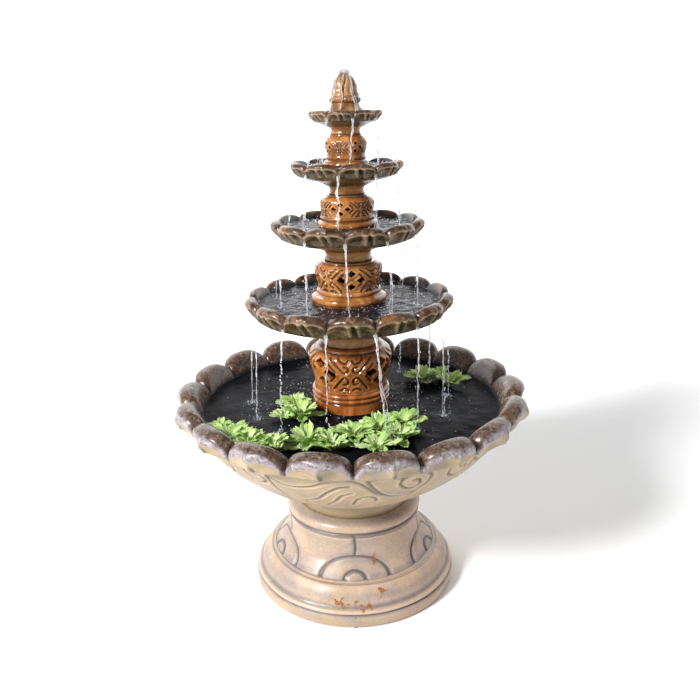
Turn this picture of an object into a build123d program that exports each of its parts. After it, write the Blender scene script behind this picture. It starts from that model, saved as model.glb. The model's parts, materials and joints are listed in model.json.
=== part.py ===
from build123d import *
import os
from dataclasses import dataclass
from math import cos, radians, sin

# Tiered garden fountain in glazed stoneware, stacked on a hollow pedestal.
#
# Millimetres, +Z up, origin on the floor under the axis, front towards -Y.
# Pedestal, basin, four column-and-bowl tiers and a finial stand on each other without
# fasteners.  A submersible pump stands inside the lowest column and feeds one riser tube
# that runs up the axis to the nozzle in the finial.

# ---------------------------------------------------------------- driving dimensions
GAP = 0.3  # gap where a piece rests on the one below
SEAL_THICKNESS = 1.7  # rubber ring under each bowl and under the basin
COLUMN_WALL = 8.0
SPIGOT_WALL = 6.0

# riser tube and the hubs that it passes through
TUBE_OUTER = 8.5
TUBE_INNER = 6.5
TUBE_BOTTOM = 331.0
TUBE_TOP = 1078.0
GROMMET_INNER = 9.0
HUB_BORE = 13.0
HUB_OUTER = 20.0
NOZZLE_RADIUS = 11.0

# pedestal
FOOT_RADIUS = 228.0
PEDESTAL_WALL = 13.0
PEDESTAL_BOTTOM = 2.0
SEAT_Z = 190.0
SEAT_BORE = 104.0
RIM_INNER = 122.0
CORD_NOTCH_RADIUS = 14.0
PAD_RADIUS = 5.0
PAD_HEIGHT = 5.0

# basin fittings
DRAIN_OFFSET = 97.0
DRAIN_BORE = 9.0
GLAND_PLACE = (46.0, 20.0)
GLAND_BORE = 8.0
CORD_BORE = 3.8

# submersible pump: shaft along Y, outlet on the fountain's axis
PUMP_Z = 294.0
PUMP_HALF = 27.0
VOLUTE_FRONT = -9.0
MOTOR_FRONT = 9.0
MOTOR_BACK = 56.0
BACK_COVER = 3.0
STRAINER_FRONT = -42.0
STRAINER_WALL = 2.0
SHAFT_RADIUS = 2.0
RUNNING_CLEARANCE = 0.05
ROTOR_RADIUS = 11.5
WELL_RADIUS = 12.5
IMPELLER_RADIUS = 17.0
CHAMBER_RADIUS = 21.0
BUSH_RADIUS = 4.5
OUTLET_TOP = 354.0


@dataclass
class Scallops:
    """Lobed rim of a bowl: lobes with notches between them."""

    count: int
    turn: float  # degrees from the front to the first notch, towards +X
    out_radius: float
    crest_radius: float
    crest_z: float
    notch_z: float
    inner_radius: float
    lower_z: float


@dataclass
class Bowl:
    """Dished body of a bowl on its foot ring; under holds the (r, z) points of its underside."""

    name: str
    foot_z: float
    under: list
    wall: float
    floor_radius: float
    floor_z: float
    hub_top: float
    rim: Scallops


@dataclass
class Column:
    """Pierced baluster: base drum, ring, bellied body with lattice windows, top deck."""

    name: str
    base_radius: float
    base_top: float
    waist_radius: float
    waist_z: float
    belly_radius: float
    belly_z: float
    neck_radius: float
    deck_z: float
    window: tuple  # half width and half height of one diamond
    window_step: tuple  # from the lattice's middle to its side and upper diamonds
    window_z: float
    window_turn: float
    spigot_radius: float


BASIN = Bowl(
    "basin",
    192,
    [(120, 236), (165, 250), (210, 274), (250, 302), (290, 338), (320, 374), (342, 416)],
    12,
    134,
    256,
    0,
    Scallops(18, 0, 383, 350, 466, 446, 322, 416),
)
BOWLS = [
    Bowl(
        "bowl_1",
        562,
        [(63, 588), (80, 596), (120, 606), (168, 616), (202, 634)],
        9,
        86,
        606,
        662,
        Scallops(14, 13.46, 219, 200, 669, 655, 186, 630),
    ),
    Bowl(
        "bowl_2",
        740,
        [(49, 760), (80, 770), (120, 780), (143, 794)],
        8,
        64,
        774,
        818,
        Scallops(11, -2, 158, 149, 822, 811, 132, 792),
    ),
    Bowl(
        "bowl_3",
        873,
        [(36, 888), (60, 897), (90, 906), (105, 916)],
        7,
        49,
        901,
        932,
        Scallops(9, -8, 115, 107, 936, 927, 97, 914),
    ),
    Bowl(
        "bowl_4",
        988,
        [(30, 1000), (50, 1008), (66, 1017)],
        6,
        39,
        1011,
        1027,
        Scallops(8, 13.4, 73, 68, 1031, 1025, 60, 1015),
    ),
]
COLUMNS = [
    Column("column_1", 84, 447, 77, 472, 88, 526, 68, 560, (15, 11.5), (21, 20.5), 512, 45, 50),
    Column("column_2", 77, 663, 62, 688, 69, 720, 58, 738, (10.5, 7.6), (20.5, 14), 707, 5, 38),
    Column("column_3", 58, 817, 53, 832, 54.5, 855, 42, 871, (6.4, 4.7), (14.5, 8.8), 846, -14, 26),
    Column("column_4", 44, 936, 38, 948, 41.5, 967, 32, 986, (4.6, 3.7), (10, 7.2), 963, 27.5, 21),
]


def save(name, made):
    """Label one finished piece and write its STEP file."""
    made.part.label = name
    export_step(made.part, f"parts/{name}.step")


def facing(angle):
    """Radial plane at an angle from the front towards +X: local x is the radius, local y is up."""
    a = radians(angle)
    return Plane(origin=(0, 0, 0), x_dir=(sin(a), -cos(a), 0), z_dir=(-cos(a), -sin(a), 0))


def outward(angle, height):
    """Plane on the axis whose normal points outwards at an angle from the front towards +X."""
    a = radians(angle)
    return Plane(origin=(0, 0, height), x_dir=(cos(a), sin(a), 0), z_dir=(sin(a), -cos(a), 0))


def turned(outline, place=(0, 0)):
    """Body of revolution about the vertical axis at a place, from an (r, z) outline."""
    with BuildPart() as made:
        with BuildSketch(Plane(origin=(*place, 0), x_dir=(1, 0, 0), z_dir=(0, -1, 0))):
            Polygon(*outline, align=None)
        revolve(axis=Axis((*place, 0), (0, 0, 1)))
    return made


def ring(outer, inner, bottom, height, place=(0, 0)):
    """Plain ring on a vertical axis."""
    top = bottom + height
    return turned([(inner, bottom), (outer, bottom), (outer, top), (inner, top)], place)


def hex_nut(place, bottom, height, across, bore):
    """Hexagonal nut on a vertical axis."""
    with BuildPart() as made:
        with BuildSketch(Plane.XY.offset(bottom)):
            with Locations(place):
                RegularPolygon(across / 2, 6, major_radius=False)
                Circle(bore, mode=Mode.SUBTRACT)
        extrude(amount=height)
        chamfer(made.faces().sort_by(Axis.Z)[0].outer_wire().edges(), 0.8)
    return made


# ---------------------------------------------------------------- ceramic pieces
def make_lobe(rim):
    """One lobe of a scalloped rim, lofted through five radial sections from notch to notch."""
    half = 180 / rim.count
    rise = rim.crest_z - rim.lower_z
    lip = (rim.out_radius + rim.crest_radius) / 2
    with BuildPart() as lobe:
        for share, swell in ((-1, 0), (-0.5, 0.8), (0, 1), (0.5, 0.8), (1, 0)):
            crest_z = rim.notch_z + swell * (rim.crest_z - rim.notch_z)
            bulge = swell * (rim.out_radius - lip)
            pinch = 0.1 * rise * (1 - swell)
            with BuildSketch(facing(rim.turn + half + share * half)):
                with BuildLine():
                    start = (rim.inner_radius + 0.12 * rise, rim.lower_z - 0.05 * rise)
                    lower = (lip + bulge - 0.12 * rise, rim.lower_z)
                    Spline(
                        start,
                        (rim.inner_radius + pinch, rim.lower_z + (0.3 + 0.15 * swell) * rise),
                        (rim.crest_radius - pinch, crest_z),
                        (lip + bulge, rim.lower_z + 0.46 * (crest_z - rim.lower_z)),
                        lower,
                    )
                    Line(lower, start)
                make_face()
        loft()
    return lobe.part


def draw_dish(bowl):
    """Radial half-section of a dished bowl with its foot ring and, on a tier bowl, its hub."""
    foot_radius, under_z = bowl.under[0]
    foot_inner = foot_radius - bowl.wall
    ceiling = under_z - 0.2 * bowl.wall
    inside = [(r - bowl.wall, z + 1.1 * bowl.wall) for r, z in bowl.under[:1:-1]]
    Polyline(
        (foot_inner, ceiling),
        (foot_inner, bowl.foot_z),
        (foot_radius, bowl.foot_z),
        (foot_radius, under_z),
    )
    Spline(*bowl.under)
    Line(bowl.under[-1], inside[0])
    Spline(*inside, (bowl.floor_radius, bowl.floor_z), tangents=[(-0.4, -1), (-1, 0)])
    if bowl.hub_top:
        Polyline(
            (bowl.floor_radius, bowl.floor_z),
            (HUB_OUTER, bowl.floor_z),
            (HUB_OUTER, bowl.hub_top),
            (HUB_BORE, bowl.hub_top),
            (HUB_BORE, ceiling),
            (foot_inner, ceiling),
        )
    else:
        Polyline((bowl.floor_radius, bowl.floor_z), (0, bowl.floor_z), (0, ceiling), (foot_inner, ceiling))


def make_bowl(bowl):
    """Scalloped bowl: a revolved dish with its lobes round the rim."""
    lobe = make_lobe(bowl.rim)
    with BuildPart() as made:
        with BuildSketch(Plane.XZ):
            with BuildLine():
                draw_dish(bowl)
            make_face()
        revolve(axis=Axis.Z)
        with PolarLocations(0, bowl.rim.count):
            add(lobe)
    return made


def make_basin():
    """Lowest bowl, its floor bored for the drain and for the cord gland."""
    bowl = make_bowl(BASIN)
    with BuildPart() as made:
        add(bowl.part)
        with BuildSketch(Plane.XY.offset(BASIN.foot_z)):
            with Locations((0, DRAIN_OFFSET)):
                Circle(DRAIN_BORE)
            with Locations(GLAND_PLACE):
                Circle(GLAND_BORE)
        extrude(amount=BASIN.floor_z - BASIN.foot_z + 2, mode=Mode.SUBTRACT)
    return made


def draw_column(column, base_z):
    """Radial half-section of a column, spigot on top."""
    t = COLUMN_WALL
    ring_z = column.base_top + 2
    ring_radius = column.waist_radius + 0.65 * (column.base_radius - column.waist_radius)
    shoulder_z = column.deck_z - 0.25 * (column.deck_z - column.belly_z)
    shoulder_radius = column.neck_radius + 4
    spigot_top = column.deck_z + 7
    bore = column.spigot_radius - SPIGOT_WALL
    Polyline(
        (column.base_radius - t, base_z),
        (column.base_radius, base_z),
        (column.base_radius, column.base_top),
        (ring_radius, ring_z),
    )
    ThreePointArc(
        (ring_radius, ring_z),
        (ring_radius + 1.5, (ring_z + column.waist_z) / 2 - 2),
        (column.waist_radius, column.waist_z),
    )
    Spline(
        (column.waist_radius, column.waist_z),
        (column.belly_radius, column.belly_z),
        (shoulder_radius, shoulder_z),
        tangents=[(0.15, 1), (-1, 0.35)],
    )
    Polyline(
        (shoulder_radius, shoulder_z),
        (column.neck_radius, shoulder_z + 1),
        (column.neck_radius, column.deck_z),
        (column.spigot_radius, column.deck_z),
        (column.spigot_radius, spigot_top),
        (bore, spigot_top),
        (bore, column.deck_z - t),
        (column.neck_radius - t, column.deck_z - t),
    )
    Spline(
        (column.neck_radius - t, column.deck_z - t),
        (column.belly_radius - t, column.belly_z),
        (column.waist_radius - t, column.waist_z),
    )
    Polyline(
        (column.waist_radius - t, column.waist_z),
        (column.base_radius - t, column.base_top - t),
        (column.base_radius - t, base_z),
    )


def make_column(column, base_z):
    """Hollow baluster with a lattice of four diamond windows on each of its four sides."""
    wide, high = column.window
    across, up = column.window_step
    with BuildPart() as made:
        with BuildSketch(Plane.XZ):
            with BuildLine():
                draw_column(column, base_z)
            make_face()
        revolve(axis=Axis.Z)
        for quarter in range(4):
            with BuildSketch(outward(column.window_turn + 90 * quarter, column.window_z)):
                with Locations((0, up), (0, -up), (across, 0), (-across, 0)):
                    Polygon((wide, 0), (0, high), (-wide, 0), (0, -high), align=None)
            extrude(amount=1.3 * column.belly_radius, mode=Mode.SUBTRACT)
    return made


def make_lowest_column():
    """Column that stands in the basin over the pump, with four arched water ports at its foot."""
    column = make_column(COLUMNS[0], BASIN.floor_z + GAP)
    port_half = 13
    with BuildPart() as made:
        add(column.part)
        for quarter in range(4):
            with BuildSketch(outward(45 + 90 * quarter, BASIN.floor_z)):
                Rectangle(2 * port_half, 24, align=(Align.CENTER, Align.MIN))
                with Locations((0, 24)):
                    Circle(port_half)
            extrude(amount=1.3 * COLUMNS[0].belly_radius, mode=Mode.SUBTRACT)
    return made


def make_pedestal():
    """Hollow bell-shaped stand with stepped mouldings, a collar and a rebate for the basin's foot."""
    t = PEDESTAL_WALL
    with BuildPart() as made:
        with BuildSketch(Plane.XZ):
            with BuildLine():
                Polyline(
                    (FOOT_RADIUS - t, PEDESTAL_BOTTOM),
                    (FOOT_RADIUS, PEDESTAL_BOTTOM),
                    (FOOT_RADIUS + 1, 26),
                    (FOOT_RADIUS - 5, 29),
                    (FOOT_RADIUS - 2, 34),
                )
                Spline((FOOT_RADIUS - 2, 34), (205, 64), (190, 80), tangents=[(-0.2, 1), (-1, 0.75)])
                Polyline((190, 80), (184, 82), (180, 86))
                Spline((180, 86), (158, 112), (147, 150), (150, 174), tangents=[(-0.8, 1), (0.3, 1)])
                Polyline((150, 174), (146, 176), (150, 178))
                ThreePointArc((150, 178), (145, 192), (130, 200))
                Polyline(
                    (130, 200),
                    (RIM_INNER, 200),
                    (RIM_INNER, SEAT_Z),
                    (SEAT_BORE, SEAT_Z),
                    (SEAT_BORE, SEAT_Z - t),
                    (132, SEAT_Z - t - 4),
                )
                Spline((132, SEAT_Z - t - 4), (133, 150), (144, 112), (171, 78), (FOOT_RADIUS - t - 2, 34))
                Line((FOOT_RADIUS - t - 2, 34), (FOOT_RADIUS - t, PEDESTAL_BOTTOM))
            make_face()
        revolve(axis=Axis.Z)
        with BuildSketch(outward(180, PEDESTAL_BOTTOM)):
            Circle(CORD_NOTCH_RADIUS)
        extrude(amount=FOOT_RADIUS + t, mode=Mode.SUBTRACT)
        with BuildSketch(Plane.XY.offset(PEDESTAL_BOTTOM)):
            with PolarLocations(FOOT_RADIUS - t / 2, 5, start_angle=-90):
                Circle(PAD_RADIUS)
        extrude(amount=PAD_HEIGHT - PEDESTAL_BOTTOM, mode=Mode.SUBTRACT)
    return made


def make_finial():
    """Hollow bud on a flared drum, open below over the hub and pierced at the tip for the jet."""
    base = BOWLS[-1].floor_z + GAP
    with BuildPart() as made:
        with BuildSketch(Plane.XZ):
            with BuildLine():
                Polyline((26, base), (34, base), (34, 1018), (38, 1024), (38, 1031), (31, 1035))
                Spline((31, 1035), (28, 1042), (30, 1052), (24, 1070), (19, 1088), (8, 1100))
                Polyline((8, 1100), (5, 1100), (5, 1092), (NOZZLE_RADIUS, 1092), (NOZZLE_RADIUS, 1064))
                Spline((NOZZLE_RADIUS, 1064), (19, 1050), (22, 1036), tangents=[(1, -0.6), (0.2, -1)])
                Polyline((22, 1036), (26, 1030), (26, base))
            make_face()
        revolve(axis=Axis.Z)
    return made


def make_pads():
    """Rubber pads pressed into the pedestal's foot, proud of it by the height of its bottom."""
    with BuildPart() as made:
        with BuildSketch():
            with PolarLocations(FOOT_RADIUS - PEDESTAL_WALL / 2, 5, start_angle=-90):
                Circle(PAD_RADIUS)
        extrude(amount=PAD_HEIGHT)
    return made


# ---------------------------------------------------------------- riser, seals and basin fittings
def make_hose_clamp():
    """Band clamp with its screw housing, round the tube where it sits on the pump's outlet."""
    with BuildPart() as made:
        with BuildSketch(Plane.XY.offset(337)):
            Circle(TUBE_OUTER + 1.2)
            with Locations((TUBE_OUTER + 3, 0)):
                Rectangle(6, 9)
            Circle(TUBE_OUTER, mode=Mode.SUBTRACT)
        extrude(amount=9)
        with BuildSketch(Plane.XZ.offset(4.5)):
            with Locations((TUBE_OUTER + 3.5, 341.5)):
                Circle(2.4)
        extrude(amount=3)
    return made


def make_nozzle():
    """Jet nozzle seated in the finial; its sleeve slides over the riser tube's top end."""
    sleeve = TUBE_OUTER + GAP
    return turned(
        [
            (sleeve, 1066),
            (NOZZLE_RADIUS, 1066),
            (NOZZLE_RADIUS, 1092),
            (3, 1092),
            (3, 1084),
            (6.5, TUBE_TOP + 1),
            (sleeve, TUBE_TOP + 1),
        ]
    )


def make_grommet(bowl):
    """Flanged rubber grommet in a bowl's hub, round the riser tube."""
    top = bowl.hub_top
    return turned(
        [
            (GROMMET_INNER, top - 10),
            (HUB_BORE, top - 10),
            (HUB_BORE, top),
            (HUB_BORE + 3, top),
            (HUB_BORE + 3, top + 2),
            (GROMMET_INNER, top + 2),
        ]
    )


def make_drain_bush():
    """Flanged drain fitting through the basin's floor."""
    floor = BASIN.floor_z
    barrel = DRAIN_BORE - 0.3
    return turned(
        [
            (6, floor - 28),
            (barrel, floor - 28),
            (barrel, floor + 1),
            (11, floor + 1),
            (11, floor + 3),
            (6, floor + 3),
        ],
        (0, DRAIN_OFFSET),
    )


def make_drain_plug():
    """Tapered stopper with a pull ring."""
    seat = BASIN.floor_z + 3 + GAP
    with BuildPart() as made:
        add(turned([(0, seat - 10), (4.8, seat - 10), (5.6, seat), (9, seat), (9, seat + 3), (0, seat + 3)]).part)
        with BuildSketch(Plane.XZ):
            with Locations((0, seat + 8)):
                Circle(7)
                Circle(4.6, mode=Mode.SUBTRACT)
        extrude(amount=1.5, both=True)
    with BuildPart() as moved:
        with Locations((0, DRAIN_OFFSET, 0)):
            add(made.part)
    return moved


def make_gland_body():
    """Flanged threaded body of the cord gland through the basin's floor."""
    floor = BASIN.floor_z
    barrel = GLAND_BORE - 0.3
    return turned(
        [
            (CORD_BORE, floor - 28),
            (barrel, floor - 28),
            (barrel, floor),
            (9.5, floor),
            (9.5, floor + 4),
            (7, floor + 4),
            (7, floor + 11),
            (5.5, floor + 11),
            (5.5, floor + 2),
            (CORD_BORE, floor + 2),
        ],
        GLAND_PLACE,
    )


def make_gland_cap():
    """Dome nut of the cord gland."""
    bottom = BASIN.floor_z + 5
    return turned(
        [
            (7, bottom),
            (9, bottom),
            (9, bottom + 6),
            (6.5, bottom + 10),
            (CORD_BORE, bottom + 10),
            (CORD_BORE, bottom + 8),
            (7, bottom + 6),
        ],
        GLAND_PLACE,
    )


# ---------------------------------------------------------------- submersible pump
def along_y(y):
    """Plane across the pump's shaft at a distance along Y, its normal towards the back."""
    return Plane(origin=(0, y, PUMP_Z), x_dir=(1, 0, 0), z_dir=(0, 1, 0))


def shaft_disc(y, length, outer, inner=0.0):
    """Disc or tube on the pump's shaft."""
    with BuildPart() as made:
        with BuildSketch(along_y(y)):
            Circle(outer)
            if inner:
                Circle(inner, mode=Mode.SUBTRACT)
        extrude(amount=length)
    return made


def make_housing():
    """Motor housing: square shell open at the back, with the rotor well standing inside it."""
    depth = MOTOR_BACK - MOTOR_FRONT
    well_end = 50.0
    with BuildPart() as made:
        with BuildSketch(along_y(MOTOR_FRONT)):
            RectangleRounded(2 * PUMP_HALF, 2 * PUMP_HALF, 5)
        extrude(amount=depth)
        with BuildSketch(along_y(MOTOR_FRONT + 4)):
            RectangleRounded(2 * PUMP_HALF - 6, 2 * PUMP_HALF - 6, 3)
            Circle(WELL_RADIUS + 1.5, mode=Mode.SUBTRACT)
        extrude(amount=depth, mode=Mode.SUBTRACT)
        with BuildSketch(along_y(well_end + 2)):
            Circle(WELL_RADIUS + 2)
        extrude(amount=depth, mode=Mode.SUBTRACT)
        with BuildSketch(along_y(MOTOR_FRONT)):
            Circle(WELL_RADIUS)
        extrude(amount=well_end - MOTOR_FRONT - 3, mode=Mode.SUBTRACT)
        with BuildSketch(along_y(well_end - 3)):
            Circle(BUSH_RADIUS)
        extrude(amount=3, mode=Mode.SUBTRACT)
        with BuildSketch(along_y(MOTOR_FRONT)):
            Circle(25.2)
            Circle(23, mode=Mode.SUBTRACT)
        extrude(amount=2, mode=Mode.SUBTRACT)
    return made


def make_back_cover():
    """Square plate that closes the motor housing, bored for the pump's own gland."""
    with BuildPart() as made:
        with BuildSketch(along_y(MOTOR_BACK)):
            RectangleRounded(2 * PUMP_HALF, 2 * PUMP_HALF, 5)
            with Locations((0, -14)):
                Circle(5, mode=Mode.SUBTRACT)
            with GridLocations(40, 40, 2, 2):
                Circle(1.6, mode=Mode.SUBTRACT)
        extrude(amount=BACK_COVER)
        chamfer(made.faces().sort_by(Axis.Y)[-1].outer_wire().edges(), 1)
    return made


def make_cover_screws():
    """Four pan-head screws through the back cover."""
    with BuildPart() as made:
        with BuildSketch(along_y(MOTOR_BACK)):
            with GridLocations(40, 40, 2, 2):
                Circle(1.6)
        extrude(amount=BACK_COVER)
        with BuildSketch(along_y(MOTOR_BACK + BACK_COVER)):
            with GridLocations(40, 40, 2, 2):
                Circle(3)
        extrude(amount=1.6)
    return made


def make_pump_gland():
    """Cord gland of the pump: a stepped plug in the back cover, bored for the cord."""
    with BuildPart() as made:
        for y, length, radius in ((MOTOR_BACK, BACK_COVER, 5), (MOTOR_BACK + BACK_COVER, 7, 6)):
            with BuildSketch(along_y(y)):
                with Locations((0, -14)):
                    Circle(radius)
                    Circle(CORD_BORE, mode=Mode.SUBTRACT)
            extrude(amount=length)
    return made


def make_stator():
    """Wound core of the motor, round the rotor well."""
    with BuildPart() as made:
        with BuildSketch(along_y(MOTOR_FRONT + 8)):
            Rectangle(42, 42)
            Circle(WELL_RADIUS + 1.8, mode=Mode.SUBTRACT)
        extrude(amount=32)
    return made


def make_volute():
    """Volute cover: impeller chamber, spidered suction eye and upright barbed outlet."""
    with BuildPart() as made:
        with BuildSketch(along_y(VOLUTE_FRONT)):
            RectangleRounded(2 * PUMP_HALF, 2 * PUMP_HALF, 5)
        extrude(amount=MOTOR_FRONT - VOLUTE_FRONT)
        with BuildSketch(Plane.XY.offset(PUMP_Z)):
            Circle(8)
        extrude(amount=TUBE_BOTTOM - 1 - PUMP_Z)
        with BuildSketch(Plane.XY.offset(PUMP_Z)):
            Circle(TUBE_INNER)
        extrude(amount=OUTLET_TOP - PUMP_Z)
        with BuildSketch(along_y(VOLUTE_FRONT + 3)):
            Circle(CHAMBER_RADIUS)
        extrude(amount=MOTOR_FRONT - VOLUTE_FRONT, mode=Mode.SUBTRACT)
        with BuildSketch(Plane.XY.offset(PUMP_Z)):
            Circle(4.8)
        extrude(amount=OUTLET_TOP - PUMP_Z, mode=Mode.SUBTRACT)
        with BuildSketch(along_y(VOLUTE_FRONT)):
            Circle(12)
            Circle(BUSH_RADIUS + 2, mode=Mode.SUBTRACT)
            with PolarLocations(0, 3):
                Rectangle(30, 3, mode=Mode.SUBTRACT)
        extrude(amount=3, mode=Mode.SUBTRACT)
        with BuildSketch(along_y(VOLUTE_FRONT)):
            Circle(BUSH_RADIUS)
        extrude(amount=3, mode=Mode.SUBTRACT)
    return made


def make_impeller():
    """Back plate, hub and six straight vanes, free to turn on the shaft."""
    with BuildPart() as made:
        with BuildSketch(along_y(5)):
            Circle(IMPELLER_RADIUS)
        extrude(amount=2)
        with BuildSketch(along_y(-4)):
            Circle(5)
            with PolarLocations(0, 6):
                Rectangle(IMPELLER_RADIUS - 1, 1.6, align=(Align.MIN, Align.CENTER))
        extrude(amount=9)
        with BuildSketch(along_y(-4)):
            Circle(SHAFT_RADIUS + RUNNING_CLEARANCE)
        extrude(amount=11, mode=Mode.SUBTRACT)
    return made


def make_strainer():
    """Slotted suction cage, open at the back where it fits over the volute cover's face."""
    length = VOLUTE_FRONT - STRAINER_FRONT
    side = 2 * (PUMP_HALF - STRAINER_WALL)
    with BuildPart() as made:
        with BuildSketch(along_y(STRAINER_FRONT)):
            RectangleRounded(2 * PUMP_HALF, 2 * PUMP_HALF, 5)
        extrude(amount=length)
        with BuildSketch(along_y(STRAINER_FRONT + STRAINER_WALL)):
            RectangleRounded(side, side, 3)
        extrude(amount=length, mode=Mode.SUBTRACT)
        with BuildSketch(along_y(STRAINER_FRONT)):
            with GridLocations(6, 0, 7, 1):
                SlotOverall(14, 2.6, rotation=90, mode=Mode.ADD)
            with Locations((0, 16), (0, -16)):
                with GridLocations(6, 0, 7, 1):
                    SlotOverall(12, 2.6, rotation=90)
            Circle(13, mode=Mode.SUBTRACT)
            Circle(SHAFT_RADIUS + 2)
        extrude(amount=STRAINER_WALL, mode=Mode.SUBTRACT)
        with BuildSketch(Plane.YZ.offset(-PUMP_HALF)):
            with Locations((STRAINER_FRONT / 2 + VOLUTE_FRONT / 2, PUMP_Z)):
                with GridLocations(0, 7, 1, 5):
                    SlotOverall(24, 3)
        extrude(amount=2 * PUMP_HALF, mode=Mode.SUBTRACT)
    return made


def make_regulator():
    """Flow dial on the strainer: pointer knob outside, stem through the wall, shutter inside."""
    stem = SHAFT_RADIUS + 2 - RUNNING_CLEARANCE
    outside = STRAINER_FRONT - GAP
    inside = STRAINER_FRONT + STRAINER_WALL + GAP
    with BuildPart() as made:
        with BuildSketch(along_y(outside - 3)):
            Circle(10)
        extrude(amount=3)
        with BuildSketch(along_y(outside - 6)):
            Rectangle(17, 3.4)
        extrude(amount=3)
        with BuildSketch(along_y(outside)):
            Circle(stem)
        extrude(amount=inside - outside)
        with BuildSketch(along_y(inside)):
            Circle(6)
        extrude(amount=2)
    return made


def make_suction_cups():
    """Four rubber suction cups between the pump and the basin's floor."""
    height = PUMP_Z - PUMP_HALF - BASIN.floor_z
    outline = [(0, 0), (8, 0), (7.4, 2), (3, 5), (3, height), (0, height)]
    with BuildPart() as cup:
        add(turned(outline).part)
    with BuildPart() as made:
        with Locations((0, 12, BASIN.floor_z)):
            with GridLocations(34, 56, 2, 2):
                add(cup.part)
    return made


# ---------------------------------------------------------------- build and write every piece
os.makedirs("parts", exist_ok=True)

save("pedestal", make_pedestal())
save("pedestal_pads", make_pads())
save("basin_seat_ring", ring(BASIN.under[0][0], 109, SEAT_Z, SEAL_THICKNESS))
save("basin", make_basin())
save("column_1", make_lowest_column())
for bowl, column in zip(BOWLS[:-1], COLUMNS[1:]):
    save(column.name, make_column(column, bowl.floor_z + GAP))
for bowl, column in zip(BOWLS, COLUMNS):
    number = bowl.name[-1]
    foot_outer = bowl.under[0][0]
    save(bowl.name, make_bowl(bowl))
    save(f"hub_grommet_{number}", make_grommet(bowl))
    save(f"tier_seal_{number}", ring(foot_outer, column.spigot_radius + 1, column.deck_z, SEAL_THICKNESS))
save("finial", make_finial())
save("finial_nozzle", make_nozzle())

save("riser_tube", ring(TUBE_OUTER, TUBE_INNER, TUBE_BOTTOM, TUBE_TOP - TUBE_BOTTOM))
save("hose_clamp", make_hose_clamp())
save("drain_bush", make_drain_bush())
save("drain_seal", ring(11, DRAIN_BORE - 0.3, BASIN.floor_z, 1, (0, DRAIN_OFFSET)))
save("drain_nut", hex_nut((0, DRAIN_OFFSET), 228.6, 5, 20, DRAIN_BORE - 0.3))
save("drain_plug", make_drain_plug())
save("cord_gland_body", make_gland_body())
save("cord_gland_nut", hex_nut(GLAND_PLACE, 228.6, 5, 20, GLAND_BORE - 0.3))
save("cord_gland_seal", ring(5.5, CORD_BORE, BASIN.floor_z + 2, 8, GLAND_PLACE))
save("cord_gland_cap", make_gland_cap())

save("pump_housing", make_housing())
save("pump_back_cover", make_back_cover())
save("pump_cover_screws", make_cover_screws())
save("pump_gland", make_pump_gland())
save("pump_stator", make_stator())
save("pump_o_ring", shaft_disc(MOTOR_FRONT, 2, 25.2, 23))
save("pump_volute", make_volute())
save("pump_shaft", shaft_disc(VOLUTE_FRONT, 59, SHAFT_RADIUS))
save("pump_front_bush", shaft_disc(VOLUTE_FRONT, 3, BUSH_RADIUS, SHAFT_RADIUS))
save("pump_back_bush", shaft_disc(47, 3, BUSH_RADIUS, SHAFT_RADIUS))
save("rotor_magnet", shaft_disc(8, 37, ROTOR_RADIUS, SHAFT_RADIUS + RUNNING_CLEARANCE))
save("impeller", make_impeller())
save("pump_strainer", make_strainer())
save("flow_regulator", make_regulator())
save("pump_suction_cups", make_suction_cups())
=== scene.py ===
import json
import math

import bmesh
import bpy
import numpy as np
from mathutils import Euler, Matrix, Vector


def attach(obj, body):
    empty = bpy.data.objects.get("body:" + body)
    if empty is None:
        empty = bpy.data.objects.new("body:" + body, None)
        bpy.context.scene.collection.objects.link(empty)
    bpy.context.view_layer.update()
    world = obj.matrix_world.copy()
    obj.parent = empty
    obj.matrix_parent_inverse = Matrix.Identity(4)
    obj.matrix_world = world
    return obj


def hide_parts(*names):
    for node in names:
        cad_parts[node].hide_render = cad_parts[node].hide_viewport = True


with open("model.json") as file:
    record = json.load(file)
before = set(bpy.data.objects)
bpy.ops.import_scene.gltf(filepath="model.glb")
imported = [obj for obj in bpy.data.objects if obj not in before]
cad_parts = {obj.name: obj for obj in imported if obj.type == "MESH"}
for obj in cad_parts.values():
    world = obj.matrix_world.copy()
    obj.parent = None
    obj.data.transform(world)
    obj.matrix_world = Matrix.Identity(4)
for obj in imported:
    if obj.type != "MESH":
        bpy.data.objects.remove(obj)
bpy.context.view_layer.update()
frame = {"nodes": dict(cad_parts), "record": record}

MM = 0.001
WHITE = (1, 1, 1, 1)
CARVING_REPEATS = 5  # round the basin and the pedestal
LATTICES = 4  # round each column
CURVE_STEPS = 24  # between two points of a smooth curve
BATCH = 20000  # points measured at a time

CAMERA_PLACE = (0, -1.5, 1.032)
CAMERA_TIPPED_DOWN, CAMERA_TURN, CAMERA_ROLL = 18.2, 0.02, -1.25  # degrees


# ================================================================ camera, floor, lights
def look_camera():
    """Camera in front of the fountain at the height of its tip, tipped down."""
    data = bpy.data.cameras.new("camera")
    data.lens = 37.6
    data.sensor_width = 36
    camera = bpy.data.objects.new("camera", data)
    bpy.context.collection.objects.link(camera)
    camera.location = CAMERA_PLACE
    turn = Euler((math.radians(90 - CAMERA_TIPPED_DOWN), 0, math.radians(CAMERA_TURN))).to_matrix()
    roll = Euler((0, 0, math.radians(CAMERA_ROLL))).to_matrix()
    camera.rotation_euler = (turn @ roll).to_euler()
    bpy.context.scene.camera = camera


def area_light(name, place, target, size, power):
    """Round light at a place, aimed at a target, in metres and watts."""
    data = bpy.data.lights.new(name, "AREA")
    data.shape = "DISK"
    data.size = size
    data.energy = power
    light = bpy.data.objects.new(name, data)
    bpy.context.collection.objects.link(light)
    light.location = place
    light.rotation_euler = (Vector(target) - Vector(place)).to_track_quat("-Z", "Y").to_euler()


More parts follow.
